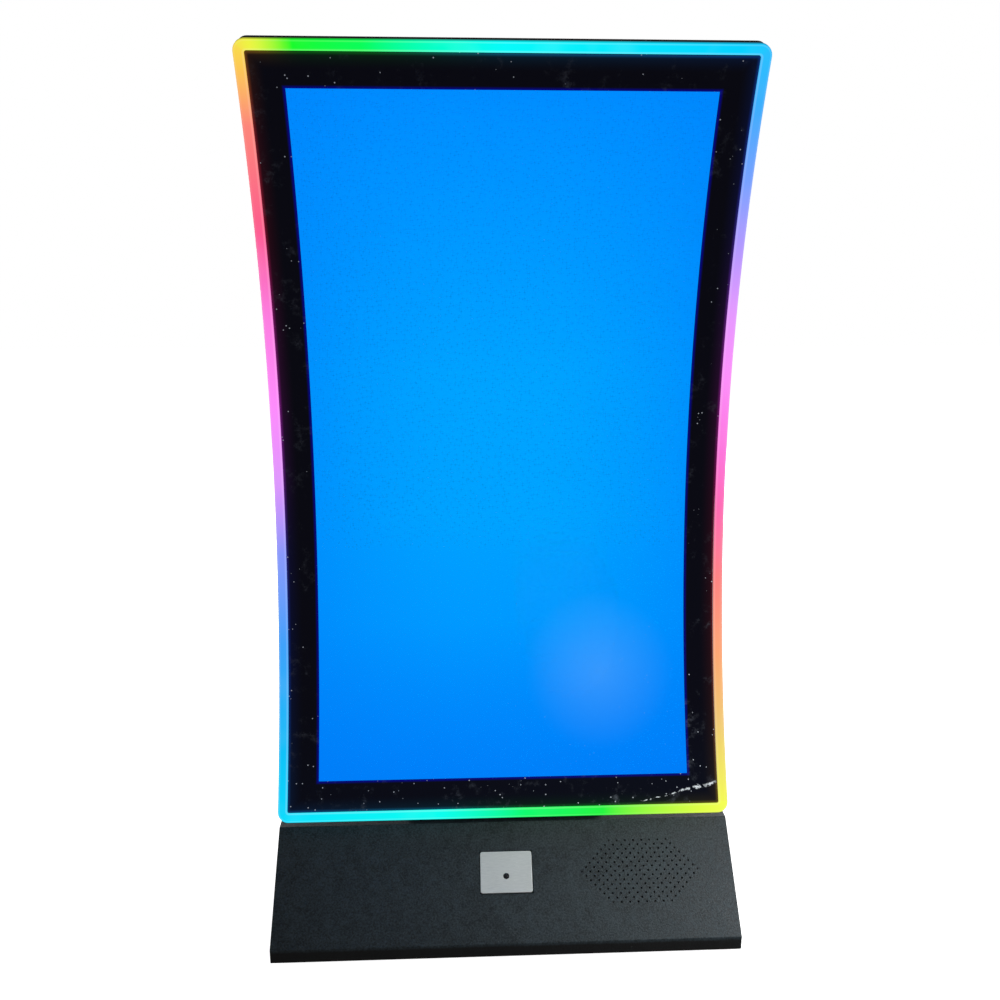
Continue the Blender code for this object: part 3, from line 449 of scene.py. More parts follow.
COAT = powder_coat("console_coat", (0.027, 0.037, 0.044), 430, 0.4, LIP_TOP)
HOUSING = powder_coat("housing_coat", (0.016, 0.018, 0.021), 800)
ZINC = zinc("zinc_sheet")
VENTED = vented_sheet("vented_case")
ALLOY = plated("mill_alloy", (0.6, 0.61, 0.62), 0.38)
BRIGHT = plated("bright_plating")
SCREW = plated("black_zinc_screw", (0.09, 0.09, 0.1), 0.35)
RUBBER = rubber("foot_rubber")
SOFT = rubber("surround_rubber", (0.006, 0.006, 0.006), 0.7)
FOAM = rubber("foam_tape", (0.02, 0.02, 0.021), 0.95)
BLACK = plastic("black_moulding", (0.02, 0.02, 0.022))
GREY = plastic("grey_moulding", (0.22, 0.23, 0.24))
GUIDE = plastic("light_guide", (0.75, 0.77, 0.78), 0.3)
BOARD = circuit("circuit_board")
SILVER = satin_silver()
LENS = smoked_lens()
PAPER = paper_cone()
FERRITE = plastic("ferrite", (0.05, 0.05, 0.053), 0.6, 700)
TAPE = led_tape()
SHEATH = sheath("lead_sheath")
LIT = lit_picture()
PRINT = black_print()
CLEAR = clear_pane()
GLOW = halo_light()


# ---- mesh work

def grid_faces(rows, cols, close_cols=False):
    """Quads over a grid stored row by row: each joins a point to the next in its row and to the
    same two in the row after. close_cols joins the last column to the first."""
    i = np.arange(rows - 1)[:, None]
    j = np.arange(cols if close_cols else cols - 1)[None, :]
    right = (j + 1) % cols
    quads = (i * cols + j, i * cols + right, (i + 1) * cols + right, (i + 1) * cols + j)
    return np.stack(np.broadcast_arrays(*quads), -1).reshape(-1, 4)


def grid_map(across, along):
    """Corner values of the quads of a grid: across runs over the columns, along over the rows."""
    u = np.broadcast_to(across[None, :], (len(along), len(across)))
    v = np.broadcast_to(along[:, None], (len(along), len(across)))
    place = np.stack([u, v], -1)
    corners = (place[:-1, :-1], place[:-1, 1:], place[1:, 1:], place[1:, :-1])
    return np.stack(corners, 2).reshape(-1, 2)


def added(name, data):
    """A new object at the origin."""
    obj = bpy.data.objects.new(name, data)
    bpy.context.collection.objects.link(obj)
    return obj


@contextmanager
def reworked(mesh):
    """The mesh opened for editing, and written back afterwards."""
    work = bmesh.new()
    work.from_mesh(mesh)
    yield work
    work.to_mesh(mesh)
    work.free()


def finish_piece(obj, materials, body, slot, stands_for, sharp):
    for material in materials:
        obj.data.materials.append(material)
    with reworked(obj.data) as work:
        bmesh.ops.remove_doubles(work, verts=work.verts, dist=2e-6)
        bmesh.ops.dissolve_degenerate(work, edges=work.edges, dist=1e-7)
        bmesh.ops.recalc_face_normals(work, faces=work.faces)
    obj.data.shade_smooth()
    obj.data.set_sharp_from_angle(angle=radians(sharp))
    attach(obj, body)
    if stands_for:
        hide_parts(*stands_for)
    return obj


def piece(name, points, faces, material, body, slot, stands_for=(), uv=None, second=None,
          sharp=35):
    """An object from points and faces; second is (material, which faces take it)."""
    mesh = bpy.data.meshes.new(name)
    mesh.from_pydata(points.reshape(-1, 3).tolist(), [], np.asarray(faces).tolist())
    if uv is not None:
        mesh.uv_layers.new(name="around").data.foreach_set("uv", uv.ravel())
    materials = [material]
    if second:
        materials.append(second[0])
        mesh.polygons.foreach_set("material_index", second[1].astype(np.int32))
    return finish_piece(added(name, mesh), materials, body, slot, stands_for, sharp)


def skin(name, grid, *finish, **more):
    """A piece from rows of points, each row closed into a ring."""
    return piece(name, grid, grid_faces(*grid.shape[:2], True), *finish, **more)


def bevelled(obj, width, segments=2):
    step = obj.modifiers.new("soft edges", "BEVEL")
    step.width, step.segments, step.harden_normals = width, segments, True
    step.limit_method, step.angle_limit = "ANGLE", radians(40)
    return obj


def refined(node, name, material, body, slot, edge=0.4 * MM, segments=2, sharp=35):
    """A copy of a CAD node with its facets merged into flats and its edges softened."""
    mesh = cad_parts[node].data.copy()
    mesh.materials.clear()
    with reworked(mesh) as work:
        bmesh.ops.remove_doubles(work, verts=work.verts, dist=2e-6)
        merge_flats(work)
    obj = finish_piece(added(name, mesh), [material], body, slot, [node], sharp)
    return bevelled(obj, edge, segments) if edge else obj


def merge_flats(work):
    bmesh.ops.dissolve_limit(work, angle_limit=radians(0.5), verts=work.verts, edges=work.edges)


def repaint(material, *nodes):
    """Gives carried-over CAD nodes their finish."""
    for node in nodes:
        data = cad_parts[node].data
        data.materials.clear()
        data.materials.append(material)


def middle(node):
    low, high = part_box(node)
    return (Vector(low) + Vector(high)) / 2


def apply_steps(obj):
    """Turns an object's modifiers into its mesh."""
    result = bpy.data.meshes.new_from_object(
        obj.evaluated_get(bpy.context.evaluated_depsgraph_get()))
    obj.modifiers.clear()
    obj.data = result


def outline(half_w, half_s, corner):
    """Upright rectangle with round corners in (x, s), anticlockwise from the right side's foot.
    Every outline has the same number of points, so two of them can be joined point by point."""
    side, end, bend = 48, 30, 10
    turn = np.linspace(0, pi / 2, bend, endpoint=False)
    sx, ss = half_w - corner, half_s - corner
    corners = np.array([(sx, -ss), (sx, ss), (-sx, ss), (-sx, -ss)])
    legs = []
    for k, run in enumerate((side, end, side, end)):
        first = corner * np.array([cos(pi / 2 * k), sin(pi / 2 * k)])
        begin, stop = corners[k] + first, corners[(k + 1) % 4] + first
        legs.append(begin + (stop - begin) * np.linspace(0, 1, run, endpoint=False)[:, None])
        angle = pi / 2 * k + turn
        legs.append(corners[(k + 1) % 4] + corner * np.stack([np.cos(angle), np.sin(angle)], 1))
    return np.concatenate(legs)


def round_place(loop):
    """Where each point of an outline lies round the frame, 0 to 1 from the lower right corner,
    with a quarter for each side, and 1 added after the last point."""
    x, s = loop[:, 0] / np.abs(loop[:, 0]).max(), loop[:, 1] / np.abs(loop[:, 1]).max()
    quarter = np.select([x >= np.abs(s), s >= np.abs(x), -x >= np.abs(s)],
                        [(s + 1) / 8, 0.25 + (1 - x) / 8, 0.5 + (1 - s) / 8],
                        0.75 + (x + 1) / 8)
    return np.unwrap(np.append(quarter, quarter[0]), period=1)


def on_arc(flat, depth):
    """Bends (x, s) points onto the display's arc: s is a length along the glass, and the point
    lies at the glass radius plus its depth from the arc's centre line."""
    angle = flat[..., 1] / GLASS_R
    radius = GLASS_R + depth
    return np.stack([flat[..., 0], CENTRE_Y + radius * np.cos(angle),
                     CENTRE_Z + radius * np.sin(angle)], -1)


def rings(*steps):
    """Loops on the arc from (outline, depth) steps, as rows of one grid."""
    return np.stack([on_arc(loop, depth) for loop, depth in steps])


def filled(loop, depth, rows=22):
    """Steps that shrink an outline evenly to the display's middle, all at one depth."""
    return [(loop * scale, depth) for scale in np.linspace(1, 0, rows)]


# ---- the display

def front_glass():
    """Curved pane: back face from the middle out, rounded edge, printed border, clear window."""
    thick, soft = 3 * MM, 0.5 * MM
    size, corner = np.array(PANE) - EDGE_GAP, 2.7 * MM
    edge = outline(*size, corner)
    inset = outline(*(size - soft), corner - soft)
    window = outline(PICTURE[0] - 1.6 * MM, PICTURE[1] - 0.3 * MM, 0.6 * MM)
    bands = np.append([0, 0.02], np.linspace(0.125, 1, 8))
    inside = filled(window, 0.0)
    steps = ([(loop, thick) for loop, _ in reversed(inside)]
             + [(window + (edge - window) * t, thick) for t in bands[1:]]
             + [(edge, soft), (edge * 0.9997, soft * 0.4)]
             + [(inset + (window - inset) * t, 0.0) for t in bands] + inside[1:])
    clear_rows = len(inside) - 1
    printed = len(steps) - 2 * clear_rows
    along = np.concatenate([np.full(clear_rows + printed - len(bands), 0.7), bands,
                            np.ones(clear_rows)])
    points = rings(*steps)
    rows, cols = points.shape[:2]
    faces = grid_faces(rows, cols, True)
    row = np.arange(len(faces)) // cols
    clear = (row < clear_rows) | (row >= rows - 1 - clear_rows)
    piece("front_glass", points, faces, PRINT, ROOT, "touch_pane", ["touch_glass"],
          grid_map(round_place(edge), along), (CLEAR, clear))


def halo_frame():
    """Acrylic frame: a flat front with a bevel to each side, swept round the pane."""
    inner = outline(*PANE, 3 * MM)
    outer = outline(*HALO, HALO_CORNER)
    back = HALO_DEEP / MM
    section = ((0, back), (0, 0.5), (0.02, 0.0), (0.09, -0.8), (0.16, -0.9), (0.5, -0.95),
               (0.84, -0.9), (0.93, -0.7), (0.985, -0.1), (1, 0.7), (1, back), (0.5, back),
               (0, back))
    points = rings(*[(inner + (outer - inner) * w, depth * MM) for w, depth in section])
    skin("halo_frame", points, GLOW, ROOT, "halo_acrylic", ["halo_diffuser"],
         grid_map(round_place(outer), np.array([w for w, _ in section])), sharp=50)


def display_tray():
    """Curved steel tray behind the frame: floor, walls, rolled front lip, rounded back edge."""
    wall, lip = 2.0 * MM, HALO_DEEP + 0.3 * MM
    size = np.array(HALO) - HALO_OVERHANG
    bend = HALO_CORNER - HALO_OVERHANG
    outer = outline(*size, bend)
    inner = outline(*(size - wall), bend - wall)
    soft = 2.5 * MM
    back = outline(*(size - soft), bend - soft)
    turn = np.linspace(0, pi / 2, 5)
    corner = [(back + (outer - back) * cos(a), TRAY_DEPTH - soft + soft * sin(a)) for a in turn]
    steps = (filled(inner, TRAY_DEPTH - wall, 30)[::-1]
             + [(inner + (outer - inner) * w, lip + 0.5 * MM * (1 - sin(pi * w)))
                for w in np.linspace(0, 1, 6)]
             + corner + filled(back, TRAY_DEPTH, 30)[1:])
    skin("display_tray", rings(*steps), HOUSING, ROOT, "housing_coat", ["monitor_housing"])


# ---- the console

DECK = Matrix.Translation((0, FRONT, LIP_TOP)) @ Matrix.Rotation(DECK_ANGLE, 4, "X")


def on_deck(points, x=0.0, t=0.0):
    """Moves points given as (x, distance up the slope, height above the deck) into place,
    measured from the spot (x, t) of the deck."""
    turn = np.array(DECK.to_3x3())
    return (points + np.array([x, t, 0])) @ turn.T + np.array(DECK.translation)


def level_shading(obj, sharp):
    """Smooth shading whose normals follow the largest faces, so that flats stay flat."""
    obj.data.shade_smooth()
    obj.data.set_sharp_from_angle(angle=radians(sharp))
    step = obj.modifiers.new("flat panels", "WEIGHTED_NORMAL")
    step.keep_sharp, step.weight = True, 100
    apply_steps(obj)


def punched_holes():
    """One cutter of many short pins: rows half a pitch apart, each a hole longer or shorter
    than the last, which makes a lozenge with its corners cut off."""
    reach = (HOLE_ROWS - 1) // 2
    spots = [((i - (HOLE_ROWS - abs(k) - 1) / 2) * HOLE_PITCH, k * HOLE_PITCH / 2)
             for k in range(-reach, reach + 1) for i in range(HOLE_ROWS - abs(k))]
    centre = np.array(spots) + np.array(SPEAKER)
    sides = 12
    turn = np.linspace(0, 2 * pi, sides, endpoint=False)
    rim = np.stack([HOLE_R * np.cos(turn), HOLE_R * np.sin(turn)], 1)
    flat = centre[:, None, :] + rim[None, :, :]
    levels = [np.concatenate([flat, np.full((*flat.shape[:2], 1), h)], -1)
              for h in (-3 * MM, 1 * MM)]
    points = on_deck(np.concatenate(levels, axis=1).reshape(-1, 3))
    faces = []
    for k in range(len(spots)):
        base = 2 * sides * k
        faces += [(base + i, base + (i + 1) % sides, base + sides + (i + 1) % sides,
                   base + sides + i) for i in range(sides)]
        faces += [tuple(range(base, base + sides)), tuple(range(base + sides, base + 2 * sides))]
    mesh = bpy.data.meshes.new("hole_pins")
    mesh.from_pydata(points.tolist(), [], faces)
    with reworked(mesh) as work:
        bmesh.ops.recalc_face_normals(work, faces=work.faces)
    return added("hole_pins", mesh)


def fold_weights(obj, shortest):
    """Marks the long sharp edges, the folds and cut edges of the sheet, for the bevel."""
    with reworked(obj.data) as work:
        merge_flats(work)
        weight = work.edges.layers.float.new("bevel_weight_edge")
        for edge in work.edges:
            sharp = len(edge.link_faces) == 2 and edge.calc_face_angle() > radians(35)
            edge[weight] = float(sharp and edge.calc_length() > shortest)


def console_shell():
    """Folded console: the CAD shell, the perforated speaker field, then soft folds."""
    shell = refined("base_shell", "console_shell", COAT, ROOT, "console_coat", 0)
    pins = punched_holes()
    step = shell.modifiers.new("perforation", "BOOLEAN")
    step.operation, step.object = "DIFFERENCE", pins
    apply_steps(shell)
    bpy.data.objects.remove(pins)
    fold_weights(shell, 12 * MM)
    bevelled(shell, 1.0 * MM, 3).modifiers[0].limit_method = "WEIGHT"
    apply_steps(shell)
    level_shading(shell, 30)


def rounded(half_x, half_y, corner, count=6):
    """Outline of a flat rectangle with round corners, as an array of (x, y)."""
    turn = np.linspace(0, pi / 2, count)
    legs = [np.stack([sx * (half_x - corner) + corner * np.cos(k * pi / 2 + turn),
                      sy * (half_y - corner) + corner * np.sin(k * pi / 2 + turn)], 1)
            for k, (sx, sy) in enumerate(((1, 1), (-1, 1), (-1, -1), (1, -1)))]
    return np.concatenate(legs)


def stack(loops, centre=(0, 0)):
    """Rows of 3-D points from (flat outline, height) pairs, shifted to a centre."""
    return np.stack([np.concatenate([loop + np.array(centre), np.full((len(loop), 1), h)], 1)
                     for loop, h in loops])


def button_cap():
    """Cap: skirt, rounded rim, a shallow dish, and a seat round the lens."""
    low, top, dish = -6.5 * MM, 1.0 * MM, 0.55 * MM
    body = rounded(*BUTTON, 3 * MM)
    rim = 1.1 * MM
    lens = 4.5 * MM
    turn = np.arctan2(body[:, 1] - (LENS_T - BUTTON_T), body[:, 0])
    hole = np.stack([lens * np.cos(turn), lens * np.sin(turn) + LENS_T - BUTTON_T], 1)
    inset = body - np.sign(body) * rim
    curve = np.linspace(0, pi / 2, 4)
    edge = [(body - np.sign(body) * rim * 0.5 * (1 - cos(a)), top - rim * 0.5 * (1 - sin(a)))
            for a in curve]
    loops = [(body * 0.0, low), (body, low)] + edge + [(inset, top)]
    loops += [(inset + (hole - inset) * t, top - dish * (1 - (1 - t) ** 3))
              for t in np.linspace(0.06, 1, 9)]
    loops += [(hole, top - 3 * MM), (hole * 0 + np.array([0, LENS_T - BUTTON_T]), top - 3 * MM)]
    skin("button_cap", on_deck(stack(loops), t=BUTTON_T), SILVER, "play_button", "button_silver",
         sharp=28)
    stem = turned([(0, -31), (4.4, -31), (5, -30.4), (5, -6.6), (0, -6.6)], 32)
    skin("button_stem", on_deck(stem, t=BUTTON_T), BLACK, "play_button", "button_silver",
         ["play_button"])


def turned(profile, sides):
    """A profile of (radius, height) in millimetres turned round the Z axis."""
    shape = np.array(profile) * MM
    turn = np.linspace(0, 2 * pi, sides, endpoint=False)
    return np.stack([shape[:, :1] * np.cos(turn), shape[:, :1] * np.sin(turn),
                     np.broadcast_to(shape[:, 1:], (len(shape), sides))], -1)


def lens():
    """Dark domed lens in a thin collar."""
    dome = [(0, -1.7), (4.2, -1.7), (4.2, 0.4), (3.9, 0.8), (3.3, 0.7), (3.1, 0.5)]
    dome += [(3.1 * cos(a), 0.5 + 0.7 * sin(a)) for a in np.linspace(0, pi / 2, 6)]
    dome[-1] = (0, 1.2)
    skin("lens_dome", on_deck(turned(dome, 32), t=LENS_T), LENS, "play_button", "lens_dark",
         ["button_lens"])


def foot_pads():
    """Turned rubber feet with a rounded tread and a moulded washer ring."""
    for node in ("foot_left_front", "foot_right_front", "foot_left_rear", "foot_right_rear"):
        centre = middle(node)
        shape = turned([(0, 0.6), (6, 0.6), (7, 0), (12.4, 0), (13.6, 0.5), (14.4, 1.4),
                        (14.9, 2.8), (14.2, 3.4), (6, 3.9), (0, 3.9)], 40)
        skin(node + "_pad", shape + np.array([centre.x, centre.y, 0]), RUBBER, ROOT,
             "foot_rubber", [node])


# ---- repeated small pieces

def screws(name, spots, normals, body, radius=3.2, material=None):
    """Pan-head screws: a disc whose height is a flattened dome less a cross-shaped recess.
    spots are the centres of their seats, normals the way each head faces, or one way for all."""
    r = np.linspace(1, 0, 9)[:, None]
    turn = np.linspace(0, 2 * pi, 32, endpoint=False)[None, :]
    x, y = r * np.cos(turn), r * np.sin(turn)
    dome = 0.62 * np.sqrt(np.clip(1 - (0.98 * r) ** 2.6, 0, 1))
    cross = np.minimum(np.abs(x), np.abs(y))
    recess = 0.42 * np.clip((0.16 - cross) / 0.06, 0, 1) * np.clip((0.62 - r) / 0.1, 0, 1)
    head = np.stack([x, y, dome + 0 * turn - recess], -1) * radius * MM
    seat = np.stack([x[:1], y[:1], 0 * x[:1] - 0.15], -1) * radius * MM
    shape = np.concatenate([seat * [0, 0, 1], seat, head])
    ways = np.broadcast_to(np.array(normals, float), (len(spots), 3))
    turns = np.array([Vector(way).to_track_quat("Z", "Y").to_matrix() for way in ways])
    points = np.einsum("kij,nj->kni", turns, shape.reshape(-1, 3)) + np.array(spots)[:, None, :]
    quads = grid_faces(*shape.shape[:2], True)
    faces = quads[None] + (np.arange(len(spots)) * shape.shape[0] * shape.shape[1])[:, None, None]
    piece(name, points, faces.reshape(-1, 4), material or SCREW, body, "bright_steel")


def tube(path, radius, sides=12, closed=False):
    """A round section carried along a path: each ring lies square to the line there."""
    path = np.asarray(path, float)
    ahead = np.roll(path, -1, 0) - np.roll(path, 1, 0)
    if not closed:
        ahead[0], ahead[-1] = path[1] - path[0], path[-1] - path[-2]
    ahead /= np.linalg.norm(ahead, axis=1)[:, None]
    guide = np.array([0.3, 0.9, 0.2]) if abs(ahead[:, 1]).max() < 0.9 else np.array([0.9, 0.1, 0.3])
    side = np.cross(ahead, guide)
    side /= np.linalg.norm(side, axis=1)[:, None]
    up = np.cross(side, ahead)
    turn = np.linspace(0, 2 * pi, sides, endpoint=False)
    ring = (side[:, None] * np.cos(turn)[None, :, None] + up[:, None] * np.sin(turn)[None, :, None])
    rows = path[:, None] + radius * ring
    if closed:
        return np.concatenate([rows, rows[:1]])
    ends = np.repeat(path[[0, -1], None], sides, 1)
    return np.concatenate([ends[:1], rows, ends[1:]])


def joined(shapes):
    """Several grids of points, each closed round its columns, as one list of points and faces."""
    points, faces, base = [], [], 0
    for shape in shapes:
        points.append(shape.reshape(-1, 3))
        faces.append(grid_faces(*shape.shape[:2], True) + base)
        base += shape.shape[0] * shape.shape[1]
    return np.concatenate(points), np.concatenate(faces)


def upright(shape):
    """The shape with its height along Y."""
    return shape[..., [0, 2, 1]]


def slab(half_x, half_y, low, high, corner, soft, centre):
    """A flat block with round corners and softened top and bottom edges, sizes in metres."""
    turn = np.linspace(0, pi / 2, 3)
    body = rounded(half_x, half_y, corner, 4)
    shrink = [body - np.sign(body) * soft * (1 - sin(a)) for a in turn]
    loops = [(body * 0, low)] + [(b, low + soft * (1 - cos(a)))
                                 for a, b in zip(turn, shrink)]
    loops += [(b, high - soft * (1 - cos(a))) for a, b in zip(turn[::-1], shrink[::-1])]
    return stack(loops + [(body * 0, high)], centre)


# ---- fan

FAN_CENTRE = middle("fan_frame")


def fan_wheel():
    """Hub with seven curved blades. A blade's angle grows with its distance back, and more near
    the hub than at the tip, so that it twists."""
    y0, y1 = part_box("fan_rotor")[0][1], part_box("fan_rotor")[1][1]
    hub = turned([(0, 0), (17, 0), (18.5, 1), (19, 2.5), (19, 19), (18.6, 19.5), (11, 19.5),
                  (10, 18.6), (0, 18.6)], 48)
    shapes = [upright(hub)]
    across = np.linspace(0, 1, 10)[:, None]
    back = np.linspace(0, 1, 12)
    loop = np.concatenate([back, back[::-1]])
    thick = np.concatenate([np.full(12, 0.6), np.full(12, -0.6)]) * MM
    for k in range(7):
        radius = (18.6 + 17.4 * across) * MM
        sweep = radians(46) * (loop[None, :] - 0.5) * (1 - 0.25 * across)
        lean = radians(16) * across
        angle = 2 * pi * k / 7 + sweep + lean + thick[None, :] / radius
        depth = (2 + 15.5 * loop[None, :]) * MM + 0 * across
        blade = np.stack([radius * np.cos(angle), depth, radius * np.sin(angle)], -1)
        ends = [np.broadcast_to(row.mean(0), row.shape)[None] for row in (blade[0], blade[-1])]
        shapes.append(np.concatenate([ends[0], blade, ends[1]]))
    points, faces = joined(shapes)
    points = points * [1, (y1 - y0) / (19.5 * MM), 1] + [FAN_CENTRE.x, y0, FAN_CENTRE.z]
    piece("fan_wheel", points, faces, BLACK, "fan_rotor", "black_plastic", ["fan_rotor"])


def wire_guard():
    """Finger guard of bright wire: rings of growing radius crossed by four ribs and eyelets."""
    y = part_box("fan_guard")[0][1]
    turn = np.linspace(0, 2 * pi, 64, endpoint=False)
    shapes = []
    for radius in (8, 14.5, 21, 27.5, 34, 38):
        ring = np.stack([radius * MM * np.cos(turn), 0 * turn + 1.5 * MM,
                         radius * MM * np.sin(turn)], 1)
        shapes.append(tube(ring, 0.8 * MM, 10, True))
    for k in range(4):
        a = radians(45 + 90 * k)
        way = np.array([cos(a), 0, sin(a)])
        reach = np.linspace(8, 48, 12)[:, None] * MM
        line = way * reach + [0, 0.75 * MM, 0]
        shapes.append(tube(line, 0.75 * MM, 10))
        eye = way * 50.4 * MM + [0, 0.75 * MM, 0]
        loop = eye + 2.9 * MM * np.stack([np.cos(turn[::3]), 0 * turn[::3], np.sin(turn[::3])], 1)
        shapes.append(tube(loop, 0.75 * MM, 10, True))
    points, faces = joined(shapes)
    piece("wire_guard", points + [FAN_CENTRE.x, y, FAN_CENTRE.z], faces, BRIGHT, ROOT,
          "bright_steel", ["fan_guard"])


# ---- speaker and spring

def oval(profile):
    """A turned profile (radius, height) squeezed to the speaker's oval, on the deck."""
    return on_deck(turned(profile, 72) * [1, SPEAKER_SQUASH, 1], *SPEAKER)


def speaker():
    """Driver under the perforation, each part a turned profile: half-round surround and corrugated
    cone with a domed dust cap, both squeezed to the oval, and a round magnet between two plates."""
    roll = np.linspace(0, pi, 10)
    over = [(72.2 + 4.2 * cos(a), -3.6 + 1.1 * sin(a)) for a in roll]
    under = [(72.2 + 4.2 * cos(a), -4.0 + 0.9 * sin(a)) for a in roll[::-1]]
    skin("half_roll", oval(over + under + over[:1]), SOFT, ROOT, "surround_rubber",
         ["speaker_surround"])
    wave = np.linspace(0, 1, 20)
    front = [(20 + 47 * t, -26.8 + 21.3 * t ** 0.85 + 0.3 * cos(12 * pi * t)) for t in wave]
    behind = [(r - 0.4, h - 1.0) for r, h in front]
    cap = [(14 * cos(a), -24 + 3.2 * sin(a)) for a in np.linspace(0, pi / 2, 7)]
    cap[-1] = (0, -20.8)
    skin("cone_and_cap", oval([(0, -35), (14, -35), (18, -31)] + behind + front[::-1] + cap),
         PAPER, "speaker_cone", "cone_paper", ["speaker_cone"])
    motor = [(0, -56), (17, -56), (18, -55.4), (18.4, -53), (19, -52.6), (19, -44.4),
             (18.4, -44), (18.4, -40.8), (18, -40.4), (0, -40.4)]
    skin("driver_magnet", on_deck(turned(motor, 48), *SPEAKER), FERRITE, ROOT,
         "magnet_ferrite", ["speaker_magnet"])


def return_spring():
    """Coil spring: a wire carried along a helix whose pitch closes up at both ends."""
    wire, radius, turns = 0.8 * MM, 9 * MM, 6.5
    foot, top = -27.2 * MM, -6.8 * MM
    t = np.linspace(0, 1, 260)
    height = foot + wire + (top - foot - 2 * wire) * (t - 0.06 * np.sin(2 * pi * t))
    angle = 2 * pi * turns * t
    path = np.stack([radius * np.cos(angle), radius * np.sin(angle), height], 1)
    coil = skin("return_spring", tube(on_deck(path, t=BUTTON_T), wire, 10), BRIGHT, ROOT,
                "bright_steel", ["button_spring"])
    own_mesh(coil)


# ---- boards

def sink(u, v, w, d, h):
    """Finned block: a foot with upright fins across its width."""
    count = max(5, int(w / (4 * MM)))
    places = np.linspace(u + 0.6 * MM, u + w - 0.6 * MM, count)
    fins = [slab(0.55 * MM, d / 2, 3 * MM, h, 0.3 * MM, 0.2 * MM, (x, v + d / 2)) for x in places]
    return [slab(w / 2, d / 2, 0, 3.5 * MM, 1 * MM, 0.4 * MM, (u + w / 2, v + d / 2))] + fins


def bank(u, v, w, d, h):
    """Row of square connector shells set side by side along the longer way."""
    along = w >= d
    count = max(2, round(max(w, d) / (15 * MM)))
    pitch = max(w, d) / count
    half = (pitch / 2 - 0.5 * MM, d / 2) if along else (w / 2, pitch / 2 - 0.5 * MM)
    return [slab(*half, 0, h * (0.8 if k % 3 == 1 else 1), 0.6 * MM, 0.3 * MM,
                 (u + (pitch * (k + 0.5) if along else w / 2),
                  v + (d / 2 if along else pitch * (k + 0.5)))) for k in range(count)]


def chips(u, v, w, d, h):
    """One flat package."""
    return [slab(w / 2, d / 2, 0.2 * MM, h, 0.6 * MM, 0.3 * MM, (u + w / 2, v + d / 2))]


def cans(u, v, w, d, h):
    """Upright capacitors in a row, each a turned can with a rounded top."""
    r = min(w, d) / 2
    count = int(max(w, d) / (2.3 * r))
    can = turned([(0, 0), (r / MM, 0), (r / MM, h / MM - 0.8), (r / MM - 0.8, h / MM),
                  (0, h / MM)], 16)
    steps = (np.arange(count) + 0.5) * max(w, d) / count
    spots = [(u + (s if w >= d else r), v + (r if w >= d else s), 0) for s in steps]
    return [can + np.array(spot) for spot in spots]


def populated(node, size, parts, up="Z"):
    """A circuit board with its components; each kind of component is one piece. Parts are
    (kind, along, across, width, depth, height) in millimetres on the board's own plane."""
    low = np.array(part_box(node)[0])
    turn = np.eye(3) if up == "Z" else np.array([[1, 0, 0], [0, 0, 1], [0, 1, 0]])
    thick = 1.6 * MM
    plate = slab(size[0] / 2 * MM, size[1] / 2 * MM, 0, thick, 1.5 * MM, 0.2 * MM,
                 (size[0] / 2 * MM, size[1] / 2 * MM))
    skin(node + "_laminate", plate @ turn.T + low, BOARD, ROOT, "circuit_board", [node])
    for kind, maker, material, slot in (("sink", sink, ALLOY, "frame_aluminium"),
                                        ("bank", bank, BRIGHT, "bright_steel"),
                                        ("chip", chips, BLACK, "black_plastic"),
                                        ("can", cans, ALLOY, "frame_aluminium")):
        shapes = [shape for part in parts if part[0] == kind
                  for shape in maker(*(MM * value for value in part[1:]))]
        if shapes:
            points, faces = joined(shapes)
            points = (points + [0, 0, thick]) @ turn.T + low
            piece(f"{node}_{kind}s", points, faces, material, ROOT, slot)


def boards():
    populated("game_board", (170, 170), [
        ("sink", 52, 62, 56, 56, 27.5), ("bank", 30, 142, 110, 22, 16), ("chip", 20, 20, 130, 8, 28),
        ("chip", 20, 31, 130, 3, 20), ("chip", 128, 60, 12, 50, 9), ("chip", 8, 50, 16, 16, 1.8),
        ("chip", 8, 80, 12, 22, 1.8), ("chip", 150, 120, 14, 14, 1.6), ("chip", 60, 44, 18, 10, 1.5),
        ("chip", 116, 44, 12, 8, 1.5), ("can", 34, 60, 8, 52, 12), ("can", 112, 62, 9, 50, 12),
        ("chip", 150, 30, 10, 20, 1.4), ("can", 54, 124, 60, 7, 9)])
    populated("audio_amplifier", (60, 70), [
        ("sink", 15, 20, 30, 30, 14), ("bank", 6, 56, 48, 10, 10), ("can", 4, 4, 50, 9, 12),
        ("chip", 48, 24, 8, 14, 1.6), ("chip", 4, 24, 8, 20, 1.6)])
    populated("display_driver_board", (150, 110), [
        ("sink", 52, 42, 28, 28, 8), ("bank", 8, 4, 60, 12, 11), ("can", 102, 22, 12, 56, 13),
        ("chip", 116, 24, 14, 50, 12), ("chip", 14, 40, 24, 24, 1.8), ("chip", 14, 76, 30, 10, 1.6),
        ("chip", 92, 90, 40, 8, 6)], "Y")
    populated("halo_controller", (80, 60), [
        ("chip", 10, 10, 26, 26, 2.2), ("bank", 50, 8, 16, 44, 10), ("can", 8, 42, 36, 9, 6),
        ("chip", 40, 12, 6, 10, 1.4)], "Y")


# ---- fixings

